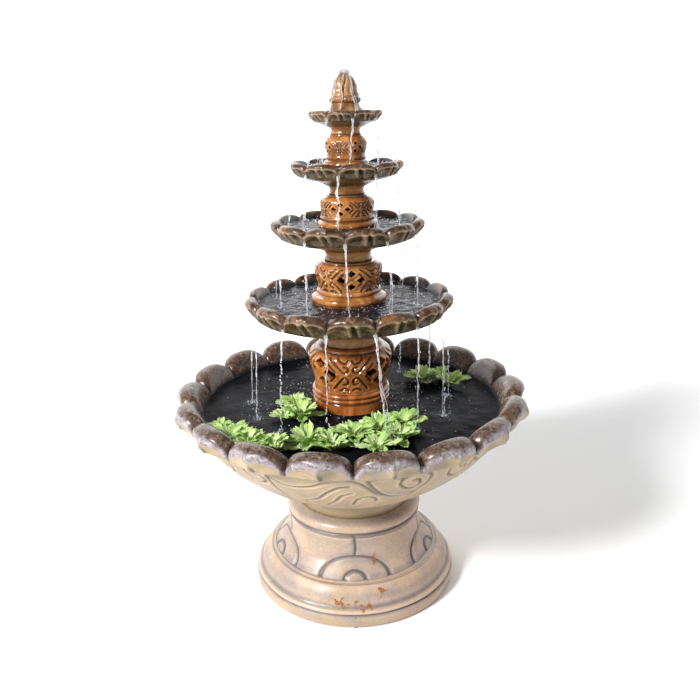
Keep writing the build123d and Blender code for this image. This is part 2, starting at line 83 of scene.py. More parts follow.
def studio():
    """Plain pale floor that curves up behind, with a soft key from the upper left."""
    radius, front, back, height, half_width, steps = 1.6, -9.0, 4.0, 7.0, 14.0, 12
    ys = [front, back - radius]
    zs = [0.0, 0.0]
    for i in range(1, steps + 1):
        a = i / steps * math.pi / 2
        ys.append(back - radius + radius * math.sin(a))
        zs.append(radius - radius * math.cos(a))
    ys.append(back)
    zs.append(height)
    verts = [(x, y, z) for y, z in zip(ys, zs) for x in (-half_width, half_width)]
    faces = [(2 * i, 2 * i + 1, 2 * i + 3, 2 * i + 2) for i in range(len(ys) - 1)]
    mesh = bpy.data.meshes.new("floor")
    mesh.from_pydata(verts, [], faces)
    for face in mesh.polygons:
        face.use_smooth = True
    floor = bpy.data.objects.new("floor", mesh)
    bpy.context.collection.objects.link(floor)
    material = bpy.data.materials.new("floor")
    material.use_nodes = True
    shader = material.node_tree.nodes["Principled BSDF"]
    shader.inputs["Base Color"].default_value = (0.93, 0.93, 0.93, 1)
    shader.inputs["Roughness"].default_value = 0.9
    shader.inputs["Specular IOR Level"].default_value = 0.1
    tree = material.node_tree
    place = tree.nodes.new("ShaderNodeTexCoord")
    split = tree.nodes.new("ShaderNodeSeparateXYZ")
    glow = tree.nodes.new("ShaderNodeMapRange")
    tree.links.new(place.outputs["Object"], split.inputs["Vector"])
    tree.links.new(split.outputs["Y"], glow.inputs["Value"])
    glow.inputs["From Min"].default_value = 0.8
    glow.inputs["From Max"].default_value = 3.2
    glow.inputs["To Min"].default_value = 0.02
    glow.inputs["To Max"].default_value = 0.80
    shader.inputs["Emission Color"].default_value = WHITE
    tree.links.new(glow.outputs["Result"], shader.inputs["Emission Strength"])
    mesh.materials.append(material)
    world = bpy.data.worlds.new("world")
    world.use_nodes = True
    world.node_tree.nodes["Background"].inputs["Color"].default_value = WHITE
    world.node_tree.nodes["Background"].inputs["Strength"].default_value = 0.29
    bpy.context.scene.world = world
    area_light("key", (-4.2, -3.7, 4.0), (0.05, 0, 0.40), 1.4, 590)
    area_light("fill", (1.8, -2.2, 1.3), (0, 0, 0.6), 1.6, 4)
    area_light("rim", (-0.8, 2.0, 2.2), (0, 0, 0.8), 1.0, 5)
    bpy.context.scene.view_settings.view_transform = "Standard"


# ================================================================ node materials
class Look:
    """A Principled material with short calls for the procedural nodes that feed it."""

    def __init__(self, name, **constants):
        self.material = bpy.data.materials.new(name)
        self.material.use_nodes = True
        self.tree = self.material.node_tree
        self.shader = self.tree.nodes["Principled BSDF"]
        for socket, value in constants.items():
            self.shader.inputs[socket.replace("_", " ")].default_value = value
        coordinates = self.tree.nodes.new("ShaderNodeTexCoord")
        self.place = coordinates.outputs["Object"]

    def put(self, socket, value):
        if isinstance(value, bpy.types.NodeSocket):
            self.tree.links.new(value, socket)
        elif isinstance(value, tuple):
            socket.default_value = value if len(value) == 4 or socket.type == "VECTOR" else (*value, 1)
        else:
            socket.default_value = value

    def attribute(self, name):
        node = self.tree.nodes.new("ShaderNodeAttribute")
        node.attribute_name = name
        return node.outputs["Fac"]

    def stretched(self, scale):
        node = self.tree.nodes.new("ShaderNodeMapping")
        self.put(node.inputs["Vector"], self.place)
        node.inputs["Scale"].default_value = scale
        return node.outputs["Vector"]

    def noise(self, scale, detail=4.0, rough=0.55, distortion=0.0, vector=None):
        node = self.tree.nodes.new("ShaderNodeTexNoise")
        self.put(node.inputs["Vector"], vector or self.place)
        node.inputs["Scale"].default_value = scale
        node.inputs["Detail"].default_value = detail
        node.inputs["Roughness"].default_value = rough
        node.inputs["Distortion"].default_value = distortion
        return node.outputs["Fac"]

    def ramp(self, value, *stops):
        node = self.tree.nodes.new("ShaderNodeValToRGB")
        self.put(node.inputs["Fac"], value)
        elements = node.color_ramp.elements
        while len(elements) < len(stops):
            elements.new(0.5)
        for element, (place, colour) in zip(elements, stops):
            element.position = place
            element.color = (*colour, 1) if isinstance(colour, tuple) else (colour, colour, colour, 1)
        return node.outputs["Color"]

    def mix(self, factor, a, b, mode="MIX"):
        node = self.tree.nodes.new("ShaderNodeMix")
        node.data_type = "RGBA"
        node.blend_type = mode
        self.put(node.inputs[0], factor)
        self.put(node.inputs[6], a)
        self.put(node.inputs[7], b)
        return node.outputs[2]

    def math(self, operation, a, b):
        node = self.tree.nodes.new("ShaderNodeMath")
        node.operation = operation
        self.put(node.inputs[0], a)
        self.put(node.inputs[1], b)
        return node.outputs[0]

    def bump(self, height, strength, distance):
        node = self.tree.nodes.new("ShaderNodeBump")
        self.put(node.inputs["Height"], height)
        node.inputs["Strength"].default_value = strength
        node.inputs["Distance"].default_value = distance
        self.tree.links.new(node.outputs["Normal"], self.shader.inputs["Normal"])

    def speckled(self, amount, colour, grain, dark, light):
        """Fine speckle over a colour, from a noise between 0.3 and 0.7."""
        return self.mix(amount, colour, self.ramp(grain, (0.3, dark), (0.7, light)), "OVERLAY")

    def finish(self, colour, roughness=None):
        self.put(self.shader.inputs["Base Color"], colour)
        if roughness is not None:
            self.put(self.shader.inputs["Roughness"], roughness)
        return self.material


def stone_look():
    """Cast stone: pinkish beige, painted mauve-grey shade in its hollows, painted near-black shade in its
    grooves, painted highlights on its edges, rust spots on the foot.
    """
    look = Look("pedestal_stone", Specular_IOR_Level=0.5)
    broad = look.noise(6, 3, 0.6)
    colour = look.ramp(
        broad,
        (0.3, (0.42, 0.325, 0.215)), (0.5, (0.55, 0.405, 0.275)), (0.7, (0.66, 0.47, 0.35)),
    )
    cloud = look.noise(11, 5, 0.66, 0.6)
    grey = look.ramp(cloud, (0.42, 0.0), (0.70, 0.75))
    colour = look.mix(grey, colour, (0.34, 0.29, 0.285))
    # Painted shade: mauve-grey darkening in the hollows and concave mouldings, patchy with the cloud noise.
    painted_shade = look.math("MULTIPLY", look.attribute("painted_shade"), look.ramp(cloud, (0.30, 0.45), (0.60, 1.0)))
    colour = look.mix(painted_shade, colour, (0.235, 0.203, 0.212))
    fine = look.noise(260, 3, 0.6)
    colour = look.speckled(0.22, colour, fine, (0.2, 0.18, 0.17), (0.8, 0.76, 0.70))
    # Painted highlight: lighter on the foot's ring and on the shoulders of the carved grooves.
    colour = look.mix(look.attribute("edge"), colour, (0.74, 0.54, 0.39))
    # Painted shade: near-black in the carved grooves and the concave corners of the profile.
    colour = look.mix(look.attribute("shaded_recess"), colour, (0.085, 0.080, 0.090))
    near = look.math("MULTIPLY", look.attribute("rust"), 0.16)
    spots = look.ramp(look.math("ADD", look.noise(85, 2, 0.45, 0.3), near), (0.655, 0.0), (0.69, 1.0))
    rust = look.math("MULTIPLY", spots, look.ramp(look.attribute("rust"), (0.05, 0.0), (0.25, 0.92)))
    colour = look.mix(rust, colour, look.ramp(fine, (0.4, (0.20, 0.060, 0.014)), (0.6, (0.44, 0.17, 0.035))))
    look.bump(look.mix(0.4, look.noise(420, 4, 0.65), look.noise(60, 4, 0.6)), 0.28, 0.0012)
    return look.finish(colour, look.ramp(look.noise(30, 4, 0.6), (0.35, 0.27), (0.65, 0.50)))


def basin_look():
    """Basin glaze: beige carved body, brown lobes over pale crackle, black inside; painted shade in the
    carved grooves and creases, painted highlights on the carving's ridges.
    """
    look = Look("basin_glaze", Specular_IOR_Level=0.5)
    broad = look.noise(5, 3, 0.6)
    body = look.ramp(
        broad,
        (0.32, (0.35, 0.265, 0.145)), (0.5, (0.46, 0.35, 0.21)), (0.68, (0.56, 0.42, 0.28)),
    )
    grey = look.ramp(look.noise(13, 5, 0.65, 0.5), (0.44, 0.0), (0.68, 0.75))
    body = look.mix(grey, body, (0.27, 0.225, 0.185))
    # Painted highlight: lighter on the ridges beside the carved grooves.
    body = look.mix(look.attribute("edge"), body, (0.76, 0.60, 0.44))
    crackle = look.noise(95, 5, 0.75, 0.9)
    streaks = look.noise(38, 4, 0.7, 1.2)
    lobe = look.ramp(
        crackle,
        (0.38, (0.026, 0.015, 0.011)), (0.53, (0.130, 0.082, 0.056)), (0.70, (0.40, 0.31, 0.28)),
    )
    lobe = look.mix(look.ramp(streaks, (0.46, 0.0), (0.64, 0.85)), lobe, (0.105, 0.060, 0.036))
    pale = look.ramp(
        look.noise(80, 6, 0.8, 1.2),
        (0.36, (0.10, 0.065, 0.060)), (0.47, (0.26, 0.22, 0.235)), (0.62, (0.50, 0.46, 0.50)),
    )
    colour = look.mix(look.attribute("pale"), body, pale)
    colour = look.mix(look.attribute("glaze"), colour, lobe)
    # Painted shade: near-black in the carved grooves and the lobes' creases.
    colour = look.mix(look.attribute("shaded_recess"), colour, (0.045, 0.042, 0.046))
    dark = look.ramp(look.noise(30, 4, 0.6), (0.40, (0.004, 0.004, 0.005)), (0.65, (0.016, 0.018, 0.022)))
    colour = look.mix(look.attribute("wet"), colour, dark)
    fine = look.noise(300, 3, 0.6)
    colour = look.speckled(0.2, colour, fine, 0.25, 0.75)
    look.bump(look.mix(0.5, look.noise(330, 4, 0.65), crackle), 0.30, 0.0014)
    gloss = look.mix(look.attribute("glaze"), look.ramp(fine, (0.3, 0.30), (0.7, 0.50)), (0.26, 0.26, 0.26))
    return look.finish(colour, gloss)


def bowl_look():
    """Tier bowls: dark brown over ochre, ochre in the petals, dark wet inside; painted shade in the slots and
    creases, painted highlights along the lips and the slots' ridges.
    """
    look = Look("bowl_glaze", Specular_IOR_Level=0.5)
    mottled = look.noise(60, 5, 0.72, 0.8)
    top = look.ramp(
        mottled,
        (0.38, (0.026, 0.015, 0.008)), (0.52, (0.095, 0.048, 0.022)), (0.70, (0.30, 0.20, 0.14)),
    )
    patches = look.ramp(look.noise(17, 3, 0.6), (0.54, 0.0), (0.68, 0.8))
    top = look.mix(patches, top, (0.27, 0.115, 0.034))
    under = look.ramp(
        mottled,
        (0.36, (0.014, 0.010, 0.005)), (0.54, (0.075, 0.046, 0.016)), (0.72, (0.26, 0.18, 0.080)),
    )
    colour = look.mix(look.attribute("glaze"), under, top)
    # Painted highlight: pale along each lobe's lip and on the ridges beside the slots.
    colour = look.mix(look.attribute("pale"), colour, (0.50, 0.36, 0.22))
    # Painted shade: near-black in the slots and creases under the lobes.
    colour = look.mix(look.attribute("shaded_recess"), colour, (0.012, 0.009, 0.006))
    foot = look.ramp(mottled, (0.3, (0.22, 0.088, 0.020)), (0.65, (0.48, 0.235, 0.075)))
    colour = look.mix(look.attribute("tan"), colour, foot)
    dark = look.ramp(look.noise(40, 4, 0.6), (0.40, (0.006, 0.006, 0.007)), (0.65, (0.030, 0.030, 0.034)))
    colour = look.mix(look.attribute("wet"), colour, dark)
    fine = look.noise(420, 3, 0.6)
    look.bump(look.mix(0.5, fine, mottled), 0.35, 0.0012)
    return look.finish(colour, look.ramp(fine, (0.3, 0.16), (0.7, 0.38)))


def column_look(name, deep, mid, bright):
    """Glossy caramel glaze, darker where it pools in the carving and brighter where it runs thin; both are
    deepened by painted shade in the carving, corners and inside and a painted highlight on the raised
    carving.
    """
    look = Look(name, Specular_IOR_Level=0.55, Coat_Weight=0.35, Coat_Roughness=0.06)
    runs = look.noise(24, 4, 0.62, 0.7, look.stretched((1, 1, 0.45)))
    colour = look.ramp(runs, (0.32, deep), (0.5, mid), (0.68, bright))
    speckle = look.ramp(look.noise(210, 3, 0.7), (0.30, 0.55), (0.42, 0.0))
    colour = look.mix(speckle, colour, (0.12, 0.035, 0.008))
    # Lighter on the raised carving: glaze running thin, and a painted highlight.
    colour = look.mix(look.attribute("edge"), colour, bright)
    # Darker in the carving where the glaze pools, and painted shade in the carving, tight corners and the
    # inside.
    colour = look.mix(look.attribute("shaded_recess"), colour, (0.035, 0.012, 0.005))
    look.bump(look.mix(0.3, look.noise(130, 3, 0.6), runs), 0.22, 0.0010)
    return look.finish(colour, look.ramp(runs, (0.35, 0.10), (0.65, 0.26)))


def water_look(name, deep, shallow, gloss):
    """Still water over a black glaze."""
    look = Look(name, Specular_IOR_Level=gloss, IOR=1.33)
    depth = look.noise(9, 3, 0.6)
    colour = look.ramp(depth, (0.35, deep), (0.65, shallow))
    froth = look.ramp(look.noise(420, 3, 0.75, 0.6), (0.50, 0.0), (0.60, 1.0))
    colour = look.mix(look.math("MULTIPLY", froth, look.attribute("foam")), colour, (0.52, 0.56, 0.62))
    look.bump(look.noise(150, 3, 0.7, 0.5), 0.3, 0.0016)
    return look.finish(colour, look.ramp(depth, (0.3, 0.05), (0.7, 0.10)))


def stream_look():
    """Clear falling water with a faint bluish-white glow: painted light standing in for its highlights."""
    look = Look("stream", Transmission_Weight=0.75, IOR=1.33, Specular_IOR_Level=0.6)
    look.shader.inputs["Roughness"].default_value = 0.03
    # Painted light: a faint glow that whitens the water as highlights would.
    look.shader.inputs["Emission Color"].default_value = (0.85, 0.88, 1.0, 1)
    look.shader.inputs["Emission Strength"].default_value = 0.05
    colour = look.ramp(look.noise(120, 3, 0.6), (0.35, (0.86, 0.88, 0.93)), (0.65, (1.0, 1.0, 1.0)))
    look.bump(look.noise(240, 3, 0.6), 0.5, 0.0012)
    return look.finish(colour)


def leaf_look():
    """Water-lettuce leaves: pale green with lighter ribs, yellower hearts and painted shade on their
    undersides.
    """
    look = Look("leaf", Specular_IOR_Level=0.35, Subsurface_Weight=0.15)
    look.shader.inputs["Subsurface Radius"].default_value = (0.004, 0.006, 0.002)
    look.shader.inputs["Subsurface Scale"].default_value = 1.0
    patch = look.noise(45, 3, 0.6)
    colour = look.ramp(
        patch,
        (0.35, (0.13, 0.32, 0.024)), (0.52, (0.30, 0.53, 0.068)), (0.68, (0.53, 0.71, 0.21)),
    )
    pale = look.ramp(look.attribute("tint"), (0.35, 0.0), (1.0, 0.75))
    colour = look.mix(pale, colour, (0.72, 0.86, 0.44))
    colour = look.mix(look.attribute("rib"), colour, (0.76, 0.86, 0.50))
    colour = look.mix(look.attribute("heart"), colour, (0.50, 0.62, 0.14))
    # Painted shade: the undersides of the leaves are darker green.
    colour = look.mix(look.attribute("under"), colour, (0.06, 0.17, 0.018))
    look.bump(look.noise(380, 3, 0.6), 0.25, 0.0008)
    return look.finish(colour, look.ramp(patch, (0.3, 0.35), (0.7, 0.55)))


def plain_look(slot, base, rough, metal, grain):
    """Small fittings: their own colour with fine mottling, bump and worn gloss."""
    look = Look("part_" + slot, Metallic=metal)
    mottled = look.noise(90, 4, 0.6)
    darker = tuple(0.6 * c for c in base)
    lighter = tuple(min(1.0, 1.25 * c + 0.01) for c in base)
    colour = look.ramp(mottled, (0.3, darker), (0.5, base), (0.75, lighter))
    look.bump(look.noise(grain, 4, 0.6), 0.25, 0.0006)
    return look.finish(colour, look.ramp(mottled, (0.3, max(0.05, rough - 0.1)), (0.7, rough + 0.12)))


FITTINGS = {
    "black_rubber": ((0.020, 0.020, 0.021), 0.62, 0.0, 500.0),
    "black_plastic": ((0.028, 0.028, 0.031), 0.38, 0.0, 700.0),
    "grey_plastic": ((0.22, 0.23, 0.24), 0.35, 0.0, 600.0),
    "clear_tube": ((0.52, 0.56, 0.55), 0.22, 0.0, 200.0),
    "bright_steel": ((0.55, 0.55, 0.56), 0.28, 1.0, 900.0),
    "shaft_ceramic": ((0.80, 0.79, 0.74), 0.25, 0.0, 900.0),
    "magnet": ((0.075, 0.075, 0.082), 0.45, 0.6, 500.0),
    "winding": ((0.36, 0.14, 0.045), 0.32, 0.7, 260.0),
    "nozzle_brass": ((0.62, 0.42, 0.16), 0.30, 1.0, 800.0),
}


def dress_fittings():
    """The CAD nodes that stay visible keep their shape and get these materials by their slots."""
    looks = {slot: plain_look(slot, *finish) for slot, finish in FITTINGS.items()}
    for part in frame["record"]["subparts"]:
        if part["material_slot"] in looks:
            for held in frame["nodes"][part["node"]].material_slots:
                held.material = looks[part["material_slot"]]


# ================================================================ mesh building
def mesh_object(name, verts, faces, attributes=None, material=None):
    """Object from vertices in millimetres, its faces as index arrays of one size each."""
    mesh = bpy.data.meshes.new(name)
    verts = np.asarray(verts, float) * MM
    groups = [np.asarray(f, np.int32) for f in faces if len(f)]
    sizes = np.concatenate([np.full(len(g), g.shape[1], np.int32) for g in groups])
    mesh.vertices.add(len(verts))
    mesh.vertices.foreach_set("co", verts.astype(np.float32).ravel())
    mesh.loops.add(int(sizes.sum()))
    mesh.loops.foreach_set("vertex_index", np.concatenate([g.ravel() for g in groups]))
    mesh.polygons.add(len(sizes))
    mesh.polygons.foreach_set("loop_start", np.concatenate([[0], np.cumsum(sizes)[:-1]]).astype(np.int32))
    mesh.polygons.foreach_set("use_smooth", np.full(len(sizes), True))
    mesh.update(calc_edges=True)
    mesh.validate()
    for key, values in (attributes or {}).items():
        layer = mesh.attributes.new(key, "FLOAT", "POINT")
        layer.data.foreach_set("value", np.asarray(values, np.float32).ravel())
    if material:
        mesh.materials.append(material)
    made = bpy.data.objects.new(name, mesh)
    bpy.context.collection.objects.link(made)
    return made


def grid_faces(rows, columns, first=0, wrap_rows=False, wrap_columns=True):
    """Quads of a grid stored row by row."""
    last_row = rows if wrap_rows else rows - 1
    last_column = columns if wrap_columns else columns - 1
    i, j = np.meshgrid(np.arange(last_row), np.arange(last_column), indexing="ij")
    a = i * columns + j
    b = i * columns + (j + 1) % columns
    c = ((i + 1) % rows) * columns + (j + 1) % columns
    d = ((i + 1) % rows) * columns + j
    return np.stack([a, b, c, d], -1).reshape(-1, 4) + first


def lathe(name, radius, height, angles, closed, attributes, material):
    """Surface of revolution whose radius and height vary round the axis.

    radius and height are rows by columns in millimetres, rows running from the inside of the underside
    outwards, up and back in.  angles are measured from the front towards +X.
    """
    rows, columns = radius.shape
    x = radius * np.sin(angles)
    y = -radius * np.cos(angles)
    verts = np.stack([x, y, height], -1).reshape(-1, 3)
    faces = [grid_faces(rows, columns, wrap_rows=closed)]
    values = {k: np.broadcast_to(v, radius.shape).ravel() for k, v in attributes.items()}
    if not closed:
        ends = np.array([[0, 0, height[0].mean()], [0, 0, height[-1].mean()]])
        verts = np.concatenate([verts, ends])
        low, high = len(verts) - 2, len(verts) - 1
        ring = np.arange(columns)
        following = (ring + 1) % columns
        top = (rows - 1) * columns
        faces.append(np.stack([following, ring, np.full(columns, low)], -1))
        faces.append(np.stack([top + ring, top + following, np.full(columns, high)], -1))
        values = {
            k: np.concatenate([v, [v[:columns].mean(), v[-columns:].mean()]]) for k, v in values.items()
        }
    return mesh_object(name, verts, faces, values, material)


def arc_lengths(profile):
    """Length along a curve from its start to each of its points."""
    return np.concatenate([[0], np.cumsum(np.linalg.norm(np.diff(profile, axis=0), axis=1))])


def smooth_curve(points, count, crowd=1.0):
    """count points on a Catmull-Rom curve through the points; a crowd below 1 packs them near its end."""
    p = np.asarray(points, float)
    if len(p) == 2:
        t = np.linspace(0, 1, count)[:, None]
        return p[0] * (1 - t) + p[1] * t
    q = np.concatenate([[2 * p[0] - p[1]], p, [2 * p[-1] - p[-2]]])
    t = np.linspace(0, 1, CURVE_STEPS, endpoint=False)[:, None]
    pieces = []
    for i in range(len(p) - 1):
        a, b, c, d = q[i : i + 4]
        pieces.append(
            0.5 * (2 * b + (c - a) * t + (2 * a - 5 * b + 4 * c - d) * t**2 + (3 * b - a - 3 * c + d) * t**3)
        )
    fine = np.concatenate(pieces + [p[-1:]])
    length = arc_lengths(fine)
    at = np.linspace(0, 1, count) ** crowd * length[-1]
    return np.stack([np.interp(at, length, fine[:, k]) for k in range(p.shape[1])], -1)


def outline(*segments):
    """Joined curve from (points, count) or (points, count, crowd) segments, end to start."""
    pieces = [smooth_curve(*segment) for segment in segments]
    return np.concatenate([pieces[0]] + [piece[1:] for piece in pieces[1:]])


def smoothstep(low, high, value):
    """0 at low, 1 at high, with no corners between."""
    t = np.clip((value - low) / (high - low), 0, 1)
    return t * t * (3 - 2 * t)


def bell(distance, width):
    """1 at no distance, falling smoothly to 0 over about twice the width."""
    return np.exp(-((distance / width) ** 2))


def wrapped(angle):
    """Angle in radians brought to -pi..pi."""
    return (angle + np.pi) % (2 * np.pi) - np.pi


def bend(*points, count=60):
    """A smooth curve through points given one by one."""
    return smooth_curve(points, count)


def nearest(points, curves, reach):
    """Distance from each 2-D point to the nearest of the curves, at most reach."""
    samples = np.concatenate(curves)
    best = np.full(len(points), reach, float)
    low, high = samples.min(0) - reach, samples.max(0) + reach
    inside = np.where(np.all((points > low) & (points < high), axis=1))[0]
    for start in range(0, len(inside), BATCH):
        chosen = inside[start : start + BATCH]
        gaps = points[chosen, None, :] - samples[None, :, :]
        best[chosen] = np.minimum(best[chosen], np.sqrt((gaps**2).sum(-1)).min(1))
    return best


def carving_distance(angles, centre, scale, up, curves, reach):
    """Distance of each point of a grid from curves drawn flat round centre: x round the axis, y like up."""
    across = np.broadcast_to(wrapped(angles - centre)[None, :] * scale, up.shape)
    return nearest(np.stack([across, up], -1).reshape(-1, 2), curves, reach).reshape(up.shape)


def spun(profile, columns):
    """Angles round the axis, and a profile's radius and height repeated at each of them."""
    angles = np.linspace(0, 2 * np.pi, columns, endpoint=False)
    radius = np.repeat(profile[:, :1], columns, axis=1)
    return angles, radius, np.repeat(profile[:, 1:], columns, axis=1)


def bumpy(angles, heights, seed, size, depth):
    """Slow hand-made unevenness: a few sine waves round the axis and along it."""
    rng = np.random.default_rng(seed)
    total = 0
    for _ in range(7):
        turns = rng.integers(2, 14)
        climb = rng.uniform(-1, 1) / size
        total = total + np.sin(turns * angles + climb * heights * 2 * np.pi + rng.uniform(0, 6.28))
    return depth * total / 4


# ================================================================ scalloped bowls
TIER_RIB = [
    (0.37, 0.00), (0.585, 0.14), (0.86, 0.37), (1.00, 0.62), (0.93, 0.86), (0.72, 0.98),
    (0.49, 1.00), (0.31, 0.87), (0.16, 0.60), (0.06, 0.32), (0.00, 0.04),
]
TIER_HOLLOW = [
    (0.37, 0.00), (0.41, 0.14), (0.47, 0.34), (0.66, 0.54), (0.90, 0.76), (0.76, 0.96),
    (0.49, 1.00), (0.31, 0.87), (0.16, 0.60), (0.06, 0.32), (0.00, 0.04),
]
TIER_NOTCH = [
    (0.37, 0.00), (0.42, 0.03), (0.47, 0.08), (0.50, 0.15), (0.48, 0.24), (0.42, 0.36),
    (0.34, 0.48), (0.26, 0.56), (0.18, 0.55), (0.11, 0.42), (0.05, 0.24), (0.00, 0.04),
]
BASIN_RIB = [
    (0.37, 0.00), (0.62, 0.06), (0.87, 0.18), (0.985, 0.33), (1.00, 0.50), (0.96, 0.69), (0.86, 0.86),
    (0.70, 0.97), (0.50, 1.00), (0.31, 0.87), (0.16, 0.60), (0.06, 0.32), (0.00, 0.04),
]
BASIN_HOLLOW = [
    (0.37, 0.00), (0.56, 0.05), (0.70, 0.14), (0.72, 0.28), (0.76, 0.44), (0.86, 0.60), (0.86, 0.84),
    (0.70, 0.97), (0.50, 1.00), (0.31, 0.87), (0.16, 0.60), (0.06, 0.32), (0.00, 0.04),
]
BASIN_NOTCH = [
    (0.37, 0.00), (0.40, 0.01), (0.43, 0.04), (0.44, 0.08), (0.43, 0.14), (0.39, 0.21), (0.33, 0.27),
    (0.26, 0.31), (0.18, 0.30), (0.11, 0.24), (0.05, 0.15), (0.00, 0.04),
]


def rim_of(lobes, turn, inner, outer, lower, crest, slots=True):
    """A scalloped rim: lobe count, turn in degrees, radii and levels; slots split each lobe's underside."""
    return dict(lobes=lobes, turn=turn, inner=inner, outer=outer, lower=lower, crest=crest, slots=slots)


def rim_section(section, rim, count):
    """One radial section of a scalloped rim in millimetres: lower lip, crest, inside."""
    width = rim["outer"] - rim["inner"]
    rise = rim["crest"] - rim["lower"]
    return smooth_curve([(rim["inner"] + u * width, rim["lower"] + v * rise) for u, v in section], count)


def scalloped_bowl(bowl):
    """Bowl with lobes: a turned body, and a rim that blends between sections round the axis."""
    rim = bowl["rim"]
    columns = rim["lobes"] * bowl["per_lobe"]
    angles = np.linspace(0, 2 * np.pi, columns, endpoint=False)
    p = ((angles - math.radians(rim["turn"])) * rim["lobes"] / (2 * np.pi)) % 1.0
    count = bowl["rim_rows"]
    rib, hollow, notch = (rim_section(section, rim, count)[:, None, :] for section in bowl["sections"])
    arch = (1 - np.abs(2 * p - 1) ** 2.4) ** 0.48
    step = np.linspace(0, 1, count)[:, None]
    lean = 0.10 * (1 - np.clip(step / 0.45, 0, 1))
    q = np.clip(p[None, :] - lean * np.sin(np.pi * p), 0, 1)
    petals = np.abs(np.sin(2 * np.pi * q)) ** (0.9 if rim["slots"] else 0.75)
    if rim["slots"]:
        petals = np.maximum(petals, bell(q - 0.5, 0.055))
        petals = petals * (1 - 0.65 * bell(np.abs(q - 0.5) - 0.10, 0.03))
    edge_line = 1 - bell(np.minimum(p, 1 - p), 0.05)
    scoop = petals * edge_line[None, :]
    section = rib * (1 - scoop[..., None]) + hollow * scoop[..., None]
    section = notch * (1 - arch[None, :, None]) + section * arch[None, :, None]
    under = outline(*bowl["under"])
    inside = outline(*bowl["inside"])
    shift = (section[0, :, 0] - under[-1, 0], section[0, :, 1] - under[-1, 1])
    body = np.repeat(under[:-1, None, :], columns, axis=1)
    follow = smoothstep(arc_lengths(under)[-1] - 30, arc_lengths(under)[-1], arc_lengths(under)[:-1])[:, None]
    body[..., 0] += follow * shift[0]
    body[..., 1] += follow * shift[1]
    cup = np.repeat(inside[1:, None, :], columns, axis=1)
    shape = np.concatenate([body, section, cup])
    radius, height = shape[..., 0].copy(), shape[..., 1].copy()
    first, last = len(body), len(body) + count
    zone = np.zeros_like(radius)
    zone[first:last] = step
    zone[last:] = 1.0
    on_rim = np.zeros_like(radius)
    on_rim[first:last] = 1.0
    crest = on_rim * smoothstep(0.16, 0.36, zone)
    fold = bell(q - 0.52, 0.020) * smoothstep(bowl["crease_top"] + 0.08, bowl["crease_top"], step)
    crease = np.zeros_like(radius)
    crease[first:last] = fold * (arch[None, :] > 0.6)
    radius -= bowl["crease"] * crease
    loose = smoothstep(bowl["steady"], bowl["steady"] + 20, radius)
    radius += bumpy(angles, height, rim["lobes"], 90, bowl["uneven"]) * loose
    attributes = {
        "glaze": np.clip(crest, 0, 1),
        "wet": smoothstep(bowl["wet_line"] + 9, bowl["wet_line"] - 2, height) * (zone > 0.55),
        # Painted shade in each lobe's central crease.
        "shaded_recess": np.clip(crease * 0.9, 0, 1),
        # Painted highlight: a pale line along each lobe's lip.
        "pale": np.clip(bell(zone - bowl["lip_at"], 0.022) * on_rim * bowl["lip_highlight"] * arch[None, :], 0, 1),
        "tan": np.zeros_like(radius),
    }
    # Painted shade in the slots under each lobe, painted highlight on the ridges beside them.
    if rim["slots"]:
        below = smoothstep(0.01, 0.06, step) * smoothstep(0.31, 0.25, step) * arch[None, :]
        gap = bell(q - 0.5, 0.034) + 0.55 * bell(np.abs(q - 0.5) - 0.27, 0.07)
        ridge = bell(np.abs(q - 0.5) - 0.105, 0.030)
        for key, shade in (("shaded_recess", 0.9 * gap * below), ("pale", 0.55 * ridge * below)):
            attributes[key][first:last] = np.clip(attributes[key][first:last] + shade, 0, 1)
    return radius, height, angles, attributes, first, last, p


def vine_curves():
    """Carved veins, pointed leaf and scrolls of one fifth of the basin's underside.

    x runs round it and y up it from the neck, in millimetres.
    """
    return [
        bend((-148, 268), (-118, 246), (-76, 250), (-44, 269), (-16, 276), (10, 266), (42, 222), (66, 207)),
        bend((22, 275), (36, 243), (58, 212), (90, 199), (117, 213), (134, 240), (136, 262), (124, 277)),
        bend(
            (124, 277), (104, 281), (88, 272), (80, 252), (92, 233), (108, 230),
            (118, 242), (113, 257), (103, 258),
        ),
        bend((22, 275), (38, 279), (62, 281), (84, 268)),
        bend((-150, 262), (-138, 202), (-106, 174), (-70, 160)),
        bend((-98, 178), (-68, 198), (-46, 230), (-26, 250), (-8, 256)),
        bend((-56, 158), (-36, 184), (-21, 216), (-4, 228)),
        bend((0, 160), (10, 200), (26, 211), (40, 200), (46, 178), (36, 172)),
        bend((106, 150), (118, 208), (134, 240)),
        bend((222, 279), (194, 281), (176, 268), (178, 244), (196, 230), (216, 238), (214, 256), (200, 257)),
    ]


